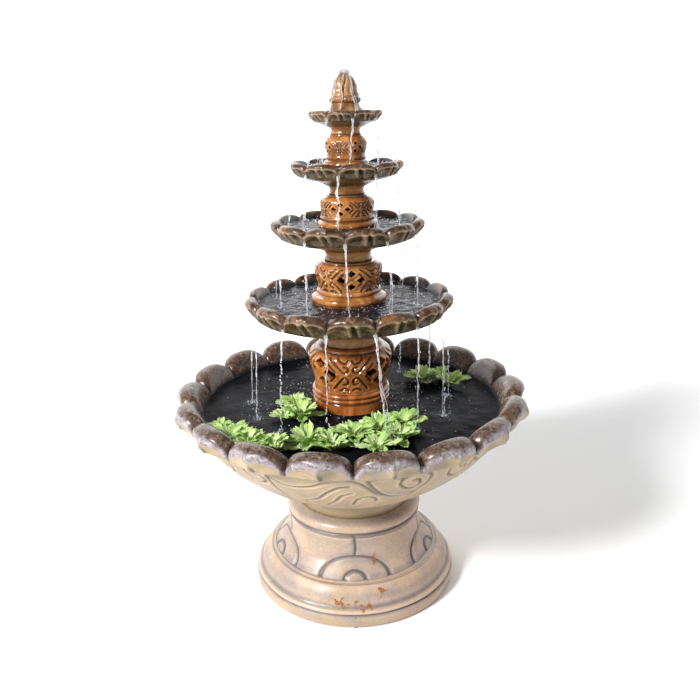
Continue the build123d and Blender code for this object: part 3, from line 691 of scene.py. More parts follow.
def make_basin(material):
    bowl = {
        "rim": rim_of(18, 0, 318, 384, 410, 466, slots=False),
        "per_lobe": 40,
        "rim_rows": 43,
        "under": [
            ([(60, 233.6), (108, 233.6)], 2),
            ([(108, 233.6), (108, 192)], 3),
            ([(108, 192), (120, 192)], 2),
            ([(120, 192), (120, 200.4)], 2),
            ([(120, 200.4), (127, 200.6)], 2),
            ([(127, 200.6), (126, 216), (128, 236)], 4),
            (
                [(128, 236), (136, 241), (165, 250), (210, 274),
                 (250, 302), (290, 338), (320, 374), (342, 410)],
                72, 0.62,
            ),
        ],
        "inside": [([(318, 412), (304, 392), (278, 355), (238, 317), (198, 288), (134, 257), (60, 256)], 14)],
        "sections": (BASIN_RIB, BASIN_HOLLOW, BASIN_NOTCH),
        "crease": 5.0,
        "crease_top": 0.25,
        "uneven": 0.9,
        "steady": 130,
        "wet_line": 424,
        "lip_at": 0.30,
        "lip_highlight": 0.0,
    }
    radius, height, angles, attributes, first, last, p = scalloped_bowl(bowl)
    step = np.zeros_like(radius)
    step[first:last] = np.linspace(0, 1, last - first)[:, None]
    on_rim = np.zeros_like(radius)
    on_rim[first:last] = 1
    lobe = np.abs(2 * p - 1)[None, :]
    high = (height - bowl["rim"]["lower"]) / (bowl["rim"]["crest"] - bowl["rim"]["lower"])
    high = high + 0.03 * np.sin(13 * angles) + 0.02 * np.sin(47 * angles + 1) + 0.015 * np.sin(151 * angles)
    beige_top = 0.60 * np.sqrt(np.clip(1 - 1.25 * lobe**3.0, 0, 1)) - 0.05
    brown_foot = 0.88 * (1 - lobe**3.2) ** 0.55 - 0.06
    inner_side = smoothstep(0.46, 0.54, step)
    brown = smoothstep(brown_foot - 0.06, brown_foot + 0.08, high)
    attributes["glaze"] = on_rim * np.maximum(brown, inner_side)
    attributes["pale"] = on_rim * smoothstep(beige_top - 0.04, beige_top + 0.09, high)
    up = np.zeros_like(radius)
    body = slice(9, first)
    steps = np.hypot(np.diff(radius[body], axis=0), np.diff(height[body], axis=0))
    up[body][1:] = np.cumsum(steps, axis=0)
    groove = np.zeros_like(radius)
    ridge = np.zeros_like(radius)
    curves = vine_curves()
    for unit in range(CARVING_REPEATS):
        centre = math.radians(360 / CARVING_REPEATS * unit)
        distance = carving_distance(angles, centre, 300, up[body], curves, 12.0)
        groove[body] = np.maximum(groove[body], bell(distance, 2.9))
        ridge[body] = np.maximum(ridge[body], bell(distance - 6.0, 2.6))
    carved_zone = np.where(on_rim > 0, 0, smoothstep(6, 22, up))
    groove *= carved_zone
    ridge *= carved_zone * (1 - groove)
    radius += 0.9 * ridge - 2.6 * groove
    height += 2.4 * groove - 0.8 * ridge
    # Painted shade darkens the carved grooves; a painted highlight lightens the ridges beside them.
    attributes["shaded_recess"] = np.clip(attributes["shaded_recess"] + 0.95 * groove**1.4, 0, 1)
    attributes["edge"] = 0.45 * ridge
    made = lathe("basin_ceramic", radius, height, angles, False, attributes, material)
    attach(made, "basin")
    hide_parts("basin")


TIER_BOWLS = {
    "bowl_1": {
        "rim": rim_of(14, 13.46, 184, 220, 626, 669),
        "under": [(63, 588), (80, 596), (120, 606), (168, 615), (197.3, 626)],
        "foot": 562,
        "wall": 9,
        "inside": [(184, 628), (172, 624), (140, 617), (100, 608), (86, 606), (20, 606)],
        "hub_top": 662,
        "wet_line": 654,
    },
    "bowl_2": {
        "rim": rim_of(11, -2, 128, 159, 787, 822),
        "under": [(49, 760), (80, 770), (120, 779), (139.5, 787)],
        "foot": 740,
        "wall": 8,
        "inside": [(128, 790), (118, 787), (90, 778), (64, 774), (20, 774)],
        "hub_top": 818,
        "wet_line": 811,
    },
    "bowl_3": {
        "rim": rim_of(9, -8, 92, 116, 909, 936),
        "under": [(36, 888), (60, 897), (85, 903), (100.9, 909)],
        "foot": 873,
        "wall": 7,
        "inside": [(92, 912), (82, 910), (62, 903), (49, 901), (20, 901)],
        "hub_top": 932,
        "wet_line": 928,
    },
    "bowl_4": {
        "rim": rim_of(8, 13.4, 56, 74, 1011, 1031.5),
        "under": [(30, 1000), (48, 1006), (62.7, 1011)],
        "foot": 988,
        "wall": 6,
        "inside": [(56, 1014), (50, 1013), (39, 1011), (20, 1011)],
        "hub_top": 1027,
        "wet_line": 1026,
    },
}
HUB_BORE = 13.0


def make_tier_bowl(name, spec, material):
    foot_radius, under_z = spec["under"][0]
    foot_inner = foot_radius - spec["wall"]
    ceiling = under_z - 0.2 * spec["wall"]
    neck_top = (foot_radius + 1, under_z - 2)
    fillet = [(foot_radius, spec["foot"]), (foot_radius - 1.5, (spec["foot"] + under_z) / 2), neck_top]
    body = [neck_top] + spec["under"][1:]
    bowl = {
        "rim": spec["rim"],
        "per_lobe": 44,
        "rim_rows": 46,
        "under": [
            ([(HUB_BORE, ceiling), (foot_inner, ceiling)], 3),
            ([(foot_inner, ceiling), (foot_inner, spec["foot"])], 4),
            ([(foot_inner, spec["foot"]), (foot_radius, spec["foot"])], 3),
            (fillet, 8),
            (body, 36),
        ],
        "inside": [
            (spec["inside"], 14),
            ([spec["inside"][-1], (20, spec["hub_top"])], 4),
            ([(20, spec["hub_top"]), (HUB_BORE, spec["hub_top"])], 3),
            ([(HUB_BORE, spec["hub_top"]), (HUB_BORE, ceiling + 2)], 4),
        ],
        "sections": (TIER_RIB, TIER_HOLLOW, TIER_NOTCH),
        "crease": 0.045 * (spec["rim"]["outer"] - spec["rim"]["inner"]),
        "crease_top": 0.22,
        "uneven": 0.5,
        "steady": foot_radius + 12,
        "wet_line": spec["wet_line"],
        "lip_at": 0.33,
        "lip_highlight": 0.8,
    }
    radius, height, angles, attributes, *_ = scalloped_bowl(bowl)
    on_foot = (radius < foot_radius + 8) * (radius > foot_inner - 1)
    attributes["tan"] = smoothstep(under_z + 4, under_z - 2, height) * on_foot
    attributes["wet"] = attributes["wet"] * (radius > 15)
    made = lathe(name + "_ceramic", radius, height, angles, True, attributes, material)
    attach(made, name)
    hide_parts(name)


# ================================================================ columns and finial
COLUMNS = {
    "column_1": {
        "outer": [
            ([(84, 256.4), (84, 410), (83, 439)], 26),
            ([(83, 439), (80, 441), (82.5, 445), (85, 448.5), (83.5, 452), (80.5, 453.5)], 10),
            ([(80.5, 453.5), (83, 456), (84.5, 459), (83, 462), (79, 464)], 8),
            ([(79, 464), (77, 474), (79.5, 492), (86, 514), (88, 530), (85.5, 542), (80, 549.5)], 56),
            ([(80, 549.5), (72.5, 551), (72.5, 554), (70, 558), (66, 560)], 10),
        ],
        "inner": [(58, 552), (78, 530), (68, 474), (76, 440), (76, 256.4)],
        "spigot": 50, "deck": 560, "mid": 512, "belly": 86, "turn": 45,
        "a": 15.0, "b": 11.5, "dx": 21.0, "dy": 20.5, "curl": (1.0, 1.0),
    },
    "column_2": {
        "outer": [
            ([(77, 606.4), (77, 652), (79, 656), (79.5, 662), (77, 665)], 14),
            ([(77, 665), (70, 668), (66.5, 671)], 6),
            ([(66.5, 671), (68, 674), (67, 678), (63.5, 681)], 7),
            ([(63.5, 681), (62.5, 688), (66, 702), (69.5, 716), (69, 726), (63, 734)], 40),
            ([(63, 734), (58.5, 734.8), (58, 738)], 5),
        ],
        "inner": [(50, 730), (60, 718), (54, 690), (68, 655), (69, 606.4)],
        "spigot": 38, "deck": 738, "mid": 706, "belly": 68, "turn": 5,
        "a": 10.5, "b": 7.6, "dx": 20.5, "dy": 14.0, "curl": (1.15, 0.95),
    },
    "column_3": {
        "outer": [
            ([(58, 774.4), (58, 806), (60.5, 810), (61, 815), (59, 818)], 12),
            ([(59, 818), (55, 819.5), (54.5, 823), (56, 825.5), (54.5, 828)], 8),
            ([(54.5, 828), (53, 836), (54, 848), (54.5, 857), (51, 864), (46, 867)], 34),
            ([(46, 867), (42.5, 867.8), (42, 871)], 5),
        ],
        "inner": [(34, 863), (46, 855), (45, 832), (50, 815), (50, 774.4)],
        "spigot": 26, "deck": 871, "mid": 846, "belly": 54, "turn": -14.6,
        "a": 6.4, "b": 4.7, "dx": 14.5, "dy": 8.8, "curl": (1.15, 0.95),
    },
    "column_4": {
        "outer": [
            ([(44, 901.4), (44, 926), (46, 928), (45.5, 933), (42, 937)], 10),
            ([(42, 937), (38.5, 939), (40, 941.5), (39.5, 944)], 6),
            ([(39.5, 944), (38.5, 950), (41, 962), (42, 970), (39, 978), (35, 983)], 28),
            ([(35, 983), (32.5, 983.5), (32, 986)], 4),
        ],
        "inner": [(24, 978), (33, 968), (30, 948), (36, 933), (36, 901.4)],
        "spigot": 21, "deck": 986, "mid": 963, "belly": 41, "turn": 27,
        "a": 4.6, "b": 3.7, "dx": 10.0, "dy": 7.2, "curl": (1.15, 0.95),
    },
}


def lattice_edges(spec):
    """Outlines of a lattice's four diamonds, a little larger than the windows themselves."""
    a, b = spec["a"] * 1.22, spec["b"] * 1.22
    curves = []
    for x, y in ((0, spec["dy"]), (0, -spec["dy"]), (spec["dx"], 0), (-spec["dx"], 0)):
        corners = [(x + a, y), (x, y + b), (x - a, y), (x, y - b), (x + a, y)]
        curves.extend(smooth_curve(pair, 16) for pair in zip(corners[:-1], corners[1:]))
    return curves


def curl_curves(spec):
    """Carved curls between two lattices: a pair above and a pair below the middle, mirrored."""
    k = spec["a"] / 15.0
    half = [
        bend((-44, 34), (-30, 20), (-16, 4), (-7, 6), (-6, 14), (-14, 17)),
        bend((-26, 36), (-19, 27), (-9, 24), (-4, 30)),
        bend((-40, -36), (-28, -22), (-15, -9), (-6, -14), (-8, -24), (-15, -24)),
        bend((-24, -38), (-14, -34), (-5, -37)),
        bend((-47, 20), (-38, 9), (-34, 4)),
        bend((-47, -20), (-40, -12), (-34, -5)),
    ]
    both = half + [c * np.array([-1, 1]) for c in half]
    return [c * np.array([k * spec["curl"][0], k * spec["curl"][1]]) for c in both]


def make_column(name, spec, material):
    outer = outline(*spec["outer"])
    bore = spec["spigot"] - 6
    deck = spec["deck"]
    cap = outline(
        ([tuple(outer[-1]), (spec["spigot"], deck)], 3),
        ([(spec["spigot"], deck), (spec["spigot"], deck + 7)], 3),
        ([(spec["spigot"], deck + 7), (bore, deck + 7)], 3),
        ([(bore, deck + 7), (bore, deck - 8)], 3),
        ([(bore, deck - 8), spec["inner"][0]], 3),
    )
    inner = smooth_curve(spec["inner"], 26)
    angles, radius, height = spun(np.concatenate([outer, cap[1:], inner[1:]]), 432)
    band = slice(0, len(outer))
    carved = np.zeros_like(radius)
    raised = np.zeros_like(radius)
    size = spec["a"] / 15.0
    up = height[band] - spec["mid"]
    for side in range(LATTICES):
        centre = math.radians(spec["turn"] + 360 / LATTICES * side)
        near = carving_distance(angles, centre, spec["belly"], up, lattice_edges(spec), 9.0)
        raised[band] = np.maximum(raised[band], bell(near, 3.0 * size + 0.6))
        between = centre + math.pi / LATTICES
        near = carving_distance(angles, between, spec["belly"], up, curl_curves(spec), 9.0)
        carved[band] = np.maximum(carved[band], bell(near, 1.5 * size + 0.9))
        lifted = bell(near - 4.2 * size, 2.4 * size + 0.3)
        raised[band] = np.maximum(raised[band], 0.7 * lifted * (near < 8.9))
    belly = smoothstep(spec["mid"] - 44 * size - 2, spec["mid"] - 40 * size, height) * smoothstep(
        spec["mid"] + 42 * size + 2, spec["mid"] + 37 * size, height)
    outside = np.zeros_like(radius)
    outside[band] = 1
    carved *= belly * outside
    raised *= belly * outside * (1 - carved)
    radius += (1.7 * size + 0.3) * raised - (2.6 * size + 0.3) * carved
    radius += bumpy(angles, height, 3, 60, 0.25) * outside
    tight = np.zeros_like(radius)
    curvature = np.zeros(len(outer))
    curvature[1:-1] = outer[:-2, 0] + outer[2:, 0] - 2 * outer[1:-1, 0]
    tight[band] = np.clip(curvature * 1.4, 0, 1)[:, None]
    inside = np.zeros_like(radius)
    inside[len(outer) + len(cap) - 1 :] = 1
    # The carving darkens where the glaze pools and with painted shade; tight corners and the inside get
    # painted shade; the raised carving gets a painted highlight.
    attributes = {
        "shaded_recess": np.clip(0.98 * carved**0.9 + 0.75 * tight + 0.9 * inside, 0, 1),
        "edge": np.clip(0.5 * raised, 0, 1),
    }
    made = lathe(name + "_ceramic", radius, height, angles, True, attributes, material)
    cut_windows(made, spec)
    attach(made, name)
    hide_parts(name)


def cut_windows(made, spec):
    """Cut every lattice's four diamonds through the wall."""
    verts, faces = [], []
    near, far = spec["belly"] * 0.62, spec["belly"] * 1.3
    for side in range(LATTICES):
        for x, z in ((0, spec["dy"]), (0, -spec["dy"]), (spec["dx"], 0), (-spec["dx"], 0)):
            centre = math.radians(spec["turn"] + 360 / LATTICES * side) + x / spec["belly"]
            first = len(verts)
            for depth in (near, far):
                for u, v in ((spec["a"], 0), (0, spec["b"]), (-spec["a"], 0), (0, -spec["b"])):
                    u *= 0.5 + 0.5 * depth / spec["belly"]
                    verts.append((
                        depth * math.sin(centre) + u * math.cos(centre),
                        -depth * math.cos(centre) + u * math.sin(centre),
                        spec["mid"] + z + v,
                    ))
            faces.append([first + i for i in (0, 1, 2, 3)])
            faces.append([first + i for i in (7, 6, 5, 4)])
            for i in range(4):
                j = (i + 1) % 4
                faces.append([first + i, first + 4 + i, first + 4 + j, first + j])
    subtract(made, mesh_object("cutter", verts, [faces]))
    for face in made.data.polygons:
        face.use_smooth = True
    made.data.set_sharp_from_angle(angle=math.radians(50))


def subtract(made, cutter):
    """Take the closed cutter out of a closed mesh, and delete it."""
    flip_outwards(cutter)
    modifier = made.modifiers.new("cut", "BOOLEAN")
    modifier.object = cutter
    modifier.operation = "DIFFERENCE"
    modifier.solver = "EXACT"
    bpy.context.view_layer.update()
    cut = bpy.data.meshes.new_from_object(made.evaluated_get(bpy.context.evaluated_depsgraph_get()))
    made.modifiers.clear()
    made.data = cut
    bpy.data.objects.remove(cutter)


def flip_outwards(obj):
    """Turn a closed mesh's faces to look outwards."""
    work = bmesh.new()
    work.from_mesh(obj.data)
    bmesh.ops.recalc_face_normals(work, faces=work.faces)
    work.to_mesh(obj.data)
    work.free()


def make_finial(material):
    profile = outline(
        ([(26, 1011.4), (34, 1011.4)], 3),
        ([(34, 1011.4), (34, 1022), (37, 1027), (38, 1031)], 10),
        ([(38, 1031), (34, 1034), (29.5, 1039), (28.5, 1042)], 10),
        ([(28.5, 1042), (27.5, 1044), (30, 1047), (31, 1050.5), (30, 1054), (27.5, 1055.5)], 16),
        ([(27.5, 1055.5), (26.5, 1060), (23.5, 1067), (22.5, 1075), (20, 1083), (15, 1091), (12.5, 1095)],
         44),
        ([(12.5, 1095), (11, 1097.5), (9, 1099.3), (7, 1099.8), (5, 1099.5)], 12),
        ([(5, 1099.5), (5, 1092.2)], 3),
        ([(5, 1092.2), (11, 1092.2)], 3),
        ([(11, 1092.2), (11, 1064), (19, 1050), (22, 1036), (26, 1030), (26, 1013)], 16),
    )
    angles, radius, height = spun(profile, 320)
    p = (angles * 7 / (2 * np.pi) + 0.15) % 1.0
    v = np.clip((height - 1056) / 36, 0, 1)
    on = smoothstep(1056, 1058, height) * smoothstep(1096, 1092, height) * (radius > 12.5)
    tongue = np.abs(2 * p - 1)[None, :]
    edge = 1.0 - 0.62 * v**1.6
    groove = bell(tongue - edge, 0.10) * on
    vein = bell(tongue, 0.12) * on * smoothstep(0.05, 0.2, v) * smoothstep(0.75, 0.5, v)
    puff = np.clip(1 - (tongue / edge) ** 2, 0, 1) ** 0.5 * on
    radius += 1.6 * puff - 1.8 * groove - 0.9 * vein
    on_bead = smoothstep(1044, 1047, height) * smoothstep(1055, 1053, height)
    radius += 0.5 * np.sin(28 * angles)[None, :] * on_bead
    # Painted shade: near-black in the grooves, the veins and over the inside; painted highlight on the puffed
    # tongues.
    hidden = np.zeros_like(radius)
    hidden[-22:] = 1
    attributes = {
        "shaded_recess": np.clip(0.8 * groove + 0.5 * vein + hidden, 0, 1),
        "edge": np.clip(0.6 * puff * (1 - groove), 0, 1),
    }
    made = lathe("finial_ceramic", radius, height, angles, True, attributes, material)
    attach(made, "finial")
    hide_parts("finial")


# ================================================================ pedestal
# Bands of painted shade in the pedestal's concave mouldings: level, width up and down, strength.
PAINTED_SHADE_BANDS = [(28, 3.5, 0.9), (44, 5, 0.75), (60, 9, 0.45), (88, 6, 0.8), (172, 7, 0.8), (196, 5, 0.8)]
# Rusty patches on its front: distance to the right, level, and their reach sideways and up.
RUST_PATCHES = [(-22, 48, 24, 9), (14, 42, 14, 8), (58, 66, 13, 7), (48, 118, 10, 9), (-4, 31, 22, 5)]


def make_pedestal(material):
    profile = outline(
        ([(215, 2), (226.5, 2)], 3),
        ([(226.5, 2), (228.5, 5), (229.2, 14), (229, 22), (226.5, 26.5)], 12),
        ([(226.5, 26.5), (223, 28), (223.2, 30)], 4),
        ([(223.2, 30), (226, 31.5), (226.2, 34), (224, 37.5), (221.5, 39)], 8),
        ([(221.5, 39), (217, 43), (211, 54), (204, 66), (196, 76), (191, 80)], 18),
        ([(191, 80), (188, 80.5), (185.5, 83), (183, 84), (180, 83)], 8),
        ([(180, 83), (177, 88), (168, 99), (158, 113), (151.5, 131), (148.5, 150), (150.5, 171)], 62),
        ([(150.5, 171), (147.5, 173.5), (147.5, 175.5), (151, 177.5)], 6),
        ([(151, 177.5), (152, 184), (149, 191), (142, 197), (131, 200)], 14),
        ([(131, 200), (122, 199.8)], 3),
        ([(122, 199.8), (122, 190)], 3),
        ([(122, 190), (104, 190)], 3),
        ([(104, 190), (104, 178), (132, 172)], 4),
        ([(132, 172), (134, 150), (144, 112), (171, 78), (211, 34), (215, 4)], 14),
    )
    angles, radius, height = spun(profile, 640)
    start = int(np.argmin(np.hypot(profile[:, 0] - 180, profile[:, 1] - 83)))
    end = int(np.argmin(np.hypot(profile[:, 0] - 150.5, profile[:, 1] - 171)))
    lengths = arc_lengths(profile)
    up = (lengths - lengths[start])[:, None] * np.ones_like(radius)
    span = lengths[end] - lengths[start]
    panel = np.zeros_like(radius)
    panel[start : end + 1] = 1
    t = np.linspace(0, 1, 80)
    curves = [
        np.stack([74 * np.cos(np.pi * t), 2 + 47 * np.sin(np.pi * t) ** 0.85], -1),
        np.stack([22 * np.cos(np.pi * t), 1 + 19 * np.sin(np.pi * t)], -1),
        bend((0, 50), (3, 66), (1, 84), (0, span), count=40),
    ]
    thick = 3.0 + 2.6 * bell(up - 8, 17) + 1.6 * smoothstep(span - 30, span, up)
    groove, painted_shade, pillow, rust = (np.zeros_like(radius) for _ in range(4))
    for unit in range(CARVING_REPEATS):
        centre = math.radians(360 / CARVING_REPEATS * unit)
        distance = carving_distance(angles, centre, 172, up, curves, 16.0)
        groove = np.maximum(groove, bell(distance, thick))
        painted_shade = np.maximum(painted_shade, 0.8 * bell(distance, 13))
        across = wrapped(angles - centre)[None, :] * 172
        inside_arch = (across / 74) ** 2 + ((up - 2) / 47) ** 2
        pillow = np.maximum(pillow, np.clip(1 - inside_arch, 0, 1) ** 0.6)
        boss = (across / 22) ** 2 + ((up - 1) / 19) ** 2
        pillow = np.maximum(pillow, 1.2 * np.clip(1 - boss, 0, 1) ** 0.5)
    groove = np.maximum(groove, 0.75 * bell(up - span + 5, 2.6)) * panel
    pillow *= panel
    radius += 2.2 * pillow - 3.8 * groove
    # Painted shade round the carving and in bands along the concave mouldings.
    painted_shade *= panel
    for level, width, strength in PAINTED_SHADE_BANDS:
        painted_shade = np.maximum(painted_shade, strength * bell(height - level, width))
    # Painted shade in the profile's concave corners and just under the collar.
    step = np.zeros(len(profile))
    step[1:-1] = profile[:-2, 0] + profile[2:, 0] - 2 * profile[1:-1, 0]
    crevice = np.clip(step * 1.2, 0, 1)[:, None] * (up < span + 60)
    crevice[end : end + 6] = 0.85
    # Painted highlight on the foot's ring.
    ring_highlight = bell(radius - 226, 3) * smoothstep(30, 33, height) * smoothstep(42, 38, height)
    radius += bumpy(angles, height, 11, 120, 0.5) * smoothstep(3, 10, height) * (height < 160)
    sideways = wrapped(angles)[None, :] * 200
    for x, level, spread, climb in RUST_PATCHES:
        rust = np.maximum(rust, bell(sideways - x, spread) * bell(height - level, climb))
    # Painted shade in the grooves and crevices, painted highlights on the foot's ring and the grooves'
    # shoulders; the rust is the stone's own.
    attributes = {
        "shaded_recess": np.clip(0.9 * groove**1.4 + 0.75 * crevice, 0, 1),
        "edge": np.clip(0.55 * ring_highlight + 0.40 * bell(groove - 0.22, 0.12) * panel, 0, 1),
        "painted_shade": np.clip(painted_shade, 0, 1),
        "rust": rust,
    }
    made = lathe("pedestal_stone", radius, height, angles, True, attributes, material)
    notch_radius, sides = 14, 32  # the cord's notch, through the back of the foot
    turns = np.linspace(0, 2 * np.pi, sides + 1)[:-1]
    rings = [
        (notch_radius * math.sin(a), y, 2 + notch_radius * math.cos(a)) for y in (196, 240) for a in turns
    ]
    ends = [[list(range(sides))], [list(range(2 * sides - 1, sides - 1, -1))]]
    subtract(made, mesh_object("cutter", rings, [grid_faces(2, sides), *ends]))
    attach(made, "pedestal")
    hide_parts("pedestal")


# ================================================================ water
def shell(top, thickness):
    """Closed thin sheet from a grid of points: the grid, the grid pushed back along its normals, a rim."""
    rows, columns = top.shape[:2]
    along = np.gradient(top, axis=0)
    across = np.gradient(top, axis=1)
    normal = np.cross(along, across)
    normal /= np.maximum(np.linalg.norm(normal, axis=-1, keepdims=True), 1e-9)
    verts = np.concatenate([top.reshape(-1, 3), (top - thickness * normal).reshape(-1, 3)])
    front = grid_faces(rows, columns, wrap_columns=False)
    back = grid_faces(rows, columns, first=rows * columns, wrap_columns=False)[:, ::-1]
    index = np.arange(rows * columns).reshape(rows, columns)
    edge = np.concatenate([index[0, :], index[1:, -1], index[-1, -2::-1], index[-2:0:-1, 0]])
    following = np.roll(edge, -1)
    rim = np.stack([following, edge, edge + rows * columns, following + rows * columns], -1)
    return verts, np.concatenate([front, back, rim])


class Pile:
    """Many small closed meshes gathered into one object."""

    def __init__(self):
        self.verts, self.quads, self.tris, self.values, self.size = [], [], [], {}, 0

    def add(self, verts, quads, tris=(), **values):
        verts = np.asarray(verts, float)
        self.verts.append(verts)
        if len(quads):
            self.quads.append(np.asarray(quads) + self.size)
        if len(tris):
            self.tris.append(np.asarray(tris) + self.size)
        for key, value in values.items():
            self.values.setdefault(key, []).append(np.broadcast_to(value, len(verts)))
        self.size += len(verts)

    def add_rings(self, verts, rows, sides):
        """Rings of vertices, closed at the first and the last by the two vertices that follow them."""
        ring = np.arange(sides)
        after = (ring + 1) % sides
        tip, last = rows * sides, (rows - 1) * sides
        tris = np.concatenate([
            np.stack([np.full(sides, tip), ring, after], -1),
            np.stack([np.full(sides, tip + 1), last + after, last + ring], -1),
        ])
        self.add(verts, grid_faces(rows, sides), tris)

    def build(self, name, body, material):
        faces = [np.concatenate(group) for group in (self.quads, self.tris) if group]
        values = {key: np.concatenate(value) for key, value in self.values.items()}
        made = mesh_object(name, np.concatenate(self.verts), faces, values, material)
        flip_outwards(made)
        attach(made, body)


def blob(pile, place, radius, stretch):
    """Small round drop."""
    rings, sides = 5, 8
    polar = np.linspace(0, np.pi, rings + 2)[1:-1]
    around = np.linspace(0, 2 * np.pi, sides, endpoint=False)
    x = np.sin(polar)[:, None] * np.cos(around)
    y = np.sin(polar)[:, None] * np.sin(around)
    z = np.cos(polar)[:, None] * np.ones(sides) * stretch
    verts = np.stack([x, y, z], -1).reshape(-1, 3)
    verts = np.concatenate([verts, [[0, 0, stretch], [0, 0, -stretch]]]) * radius + np.asarray(place)
    pile.add_rings(verts, rings, sides)


def tube(pile, path, wide, thick, across):
    """Closed tube along a path with an elliptical section: wide along across, thick the other way."""
    path = np.asarray(path, float)
    tangent = np.gradient(path, axis=0)
    tangent /= np.linalg.norm(tangent, axis=1, keepdims=True)
    normal = np.cross(tangent, across)
    normal /= np.linalg.norm(normal, axis=1, keepdims=True)
    sides = 12
    a = np.linspace(0, 2 * np.pi, sides, endpoint=False)
    ring = (
        path[:, None, :]
        + wide[:, None, None] * np.cos(a)[None, :, None] * across
        + thick[:, None, None] * np.sin(a)[None, :, None] * normal[:, None, :]
    )
    verts = np.concatenate([ring.reshape(-1, 3), [path[0] - 0.3 * tangent[0], path[-1] + 0.6 * tangent[-1]]])
    pile.add_rings(verts, len(path), sides)


WATER = {
    "basin": {"level": 421, "from": 80, "to": 322.5, "rows": 118, "columns": 720, "chop": 0.0024},
    "bowl_1": {"level": 651, "from": 73, "to": 190, "rows": 88, "columns": 560, "chop": 0.0055},
    "bowl_2": {"level": 808.5, "from": 55, "to": 133, "rows": 62, "columns": 440, "chop": 0.007},
    "bowl_3": {"level": 925.5, "from": 41, "to": 96, "rows": 48, "columns": 340, "chop": 0.011},
    "bowl_4": {"level": 1023.5, "from": 33, "to": 59, "rows": 30, "columns": 260, "chop": 0.012},
}
WATER_DEPTH = 5.0
# Drops thrown up over each surface.
SPARKLES = {"basin": 460, "bowl_1": 430, "bowl_2": 260, "bowl_3": 150, "bowl_4": 60}


def notch_angles(rim):
    """Directions of the notches between a rim's lobes."""
    return [math.radians(rim["turn"] + 360 / rim["lobes"] * k) for k in range(rim["lobes"])]


def plan_streams():
    """Where each bowl's water leaves its notches and where it lands: {bowl: [(angle, throw, seed), ...]}."""
    rng = np.random.default_rng(12)
    plan = {}
    for name, spec in TIER_BOWLS.items():
        share = {"bowl_1": 0.86, "bowl_2": 0.92, "bowl_3": 0.9, "bowl_4": 0.9}[name]
        plan[name] = []
        for angle in notch_angles(spec["rim"]):
            facing_front = abs(wrapped(angle)) < 1.9
            if facing_front or rng.random() < share:
                aside, throw, seed = rng.normal(0, 0.012), rng.uniform(3, 15), int(rng.integers(1, 9999))
                plan[name].append((angle + aside, throw, seed))
    return plan


def stream(pile, drops, name, angle, throw, seed, floor_level):
    """One thread of water over a notch and down to the level below, and where it lands."""
    rng = np.random.default_rng(seed)
    rim = TIER_BOWLS[name]["rim"]
    width, rise = rim["outer"] - rim["inner"], rim["crest"] - rim["lower"]
    saddle = rim["lower"] + 0.56 * rise
    lip = rim["inner"] + 0.50 * width
    scale = math.sqrt(width / 36)
    out = np.array([math.sin(angle), -math.cos(angle), 0])
    side = np.array([math.cos(angle), math.sin(angle), 0])
    guide = [
        (rim["inner"] + 0.08 * width, saddle - 0.06 * rise),
        (rim["inner"] + 0.20 * width, saddle + 0.8),
        (rim["inner"] + 0.30 * width, saddle - 0.03 * rise + 0.9),
        (rim["inner"] + 0.42 * width, saddle - 0.18 * rise + 0.9),
        (lip + 0.8, saddle - 0.34 * rise),
        (lip + 1.8, saddle - 0.46 * rise),
    ]
    over = smooth_curve(guide, 14)
    fall = np.linspace(0, 1, 60)[1:]
    start_r, start_z = over[-1]
    drop = start_z - floor_level
    down_r = start_r + throw * np.sqrt(fall)
    down_z = start_z - drop * fall
    r = np.concatenate([over[:, 0], down_r])
    z = np.concatenate([over[:, 1], down_z])
    s = np.concatenate([np.zeros(len(over)), fall])
    sway = np.zeros(len(s))
    for k in range(5):
        swing = rng.normal(0, 1.1 / (k + 1) ** 0.5)
        sway += swing * np.sin((2.2 + 3.1 * k) * s * drop / 55 + rng.uniform(0, 6.3))
    sway = sway * np.clip(s * 4, 0, 1) + rng.normal(0, 0.06) * drop * s
    path = r[:, None] * out + sway[:, None] * side
    path[:, 2] = z
    on_lip = np.clip(1 - s * 14, 0, 1)
    pulse = 1 + 0.38 * np.sin(s * drop / rng.uniform(4.5, 7.5) + rng.uniform(0, 6)) * np.clip(s * 3, 0, 1)
    pulse += 0.30 * np.sin(s * drop / rng.uniform(2.2, 3.2) + rng.uniform(0, 6)) * np.clip(s * 3, 0, 1)
    thin = rng.uniform(1.1, 2.2) * (0.65 + 0.35 * scale)
    wide = (thin * (1 - 0.30 * s) * pulse) * (1 - on_lip) + on_lip * 4.2 * scale
    thick = (thin * (0.85 - 0.25 * s) * pulse) * (1 - on_lip) + on_lip * 1.3
    breaks = rng.random() < (0.7 if name == "bowl_1" else 0.25)
    cut = int(len(s) * rng.uniform(0.35, 0.85)) if breaks else len(s)
    tube(pile, path[:cut], np.maximum(wide[:cut], 0.5), np.maximum(thick[:cut], 0.5), side)
    for at in path[cut::2]:
        size = rng.uniform(0.7, 1.15) * thin
        blob(drops, at + rng.normal(0, 0.9, 3), size, rng.uniform(1.2, 3.4))
    if rng.random() < 0.45:
        first = rng.integers(16, 26)
        apart = np.linspace(0, 1, len(path) - first)[:, None] * rng.uniform(3, 9) * rng.choice([-1, 1])
        second = path[first:] + apart * side + 0.4 * apart * out
        tube(pile, second, np.maximum(0.5 * wide[first:], 0.5), np.maximum(0.5 * thick[first:], 0.5), side)
    for k in range(rng.integers(4, 10)):
        at = path[rng.integers(16, len(path))] + rng.normal(0, 3.0, 3) * (1, 1, 2)
        blob(drops, at, rng.uniform(0.5, 1.3), rng.uniform(1.0, 2.6))
    for k in range(rng.integers(9, 18)):
        turn, reach = rng.uniform(0, 6.3), abs(rng.normal(0, 7)) + 2
        high = abs(rng.normal(0, 5)) * max(0.0, 1 - reach / 22)
        spot = path[-1] + np.array([math.cos(turn) * reach, math.sin(turn) * reach, high])
        blob(drops, spot, rng.uniform(0.5, 1.5), rng.uniform(0.8, 1.8))
    return tuple(path[-1][:2])


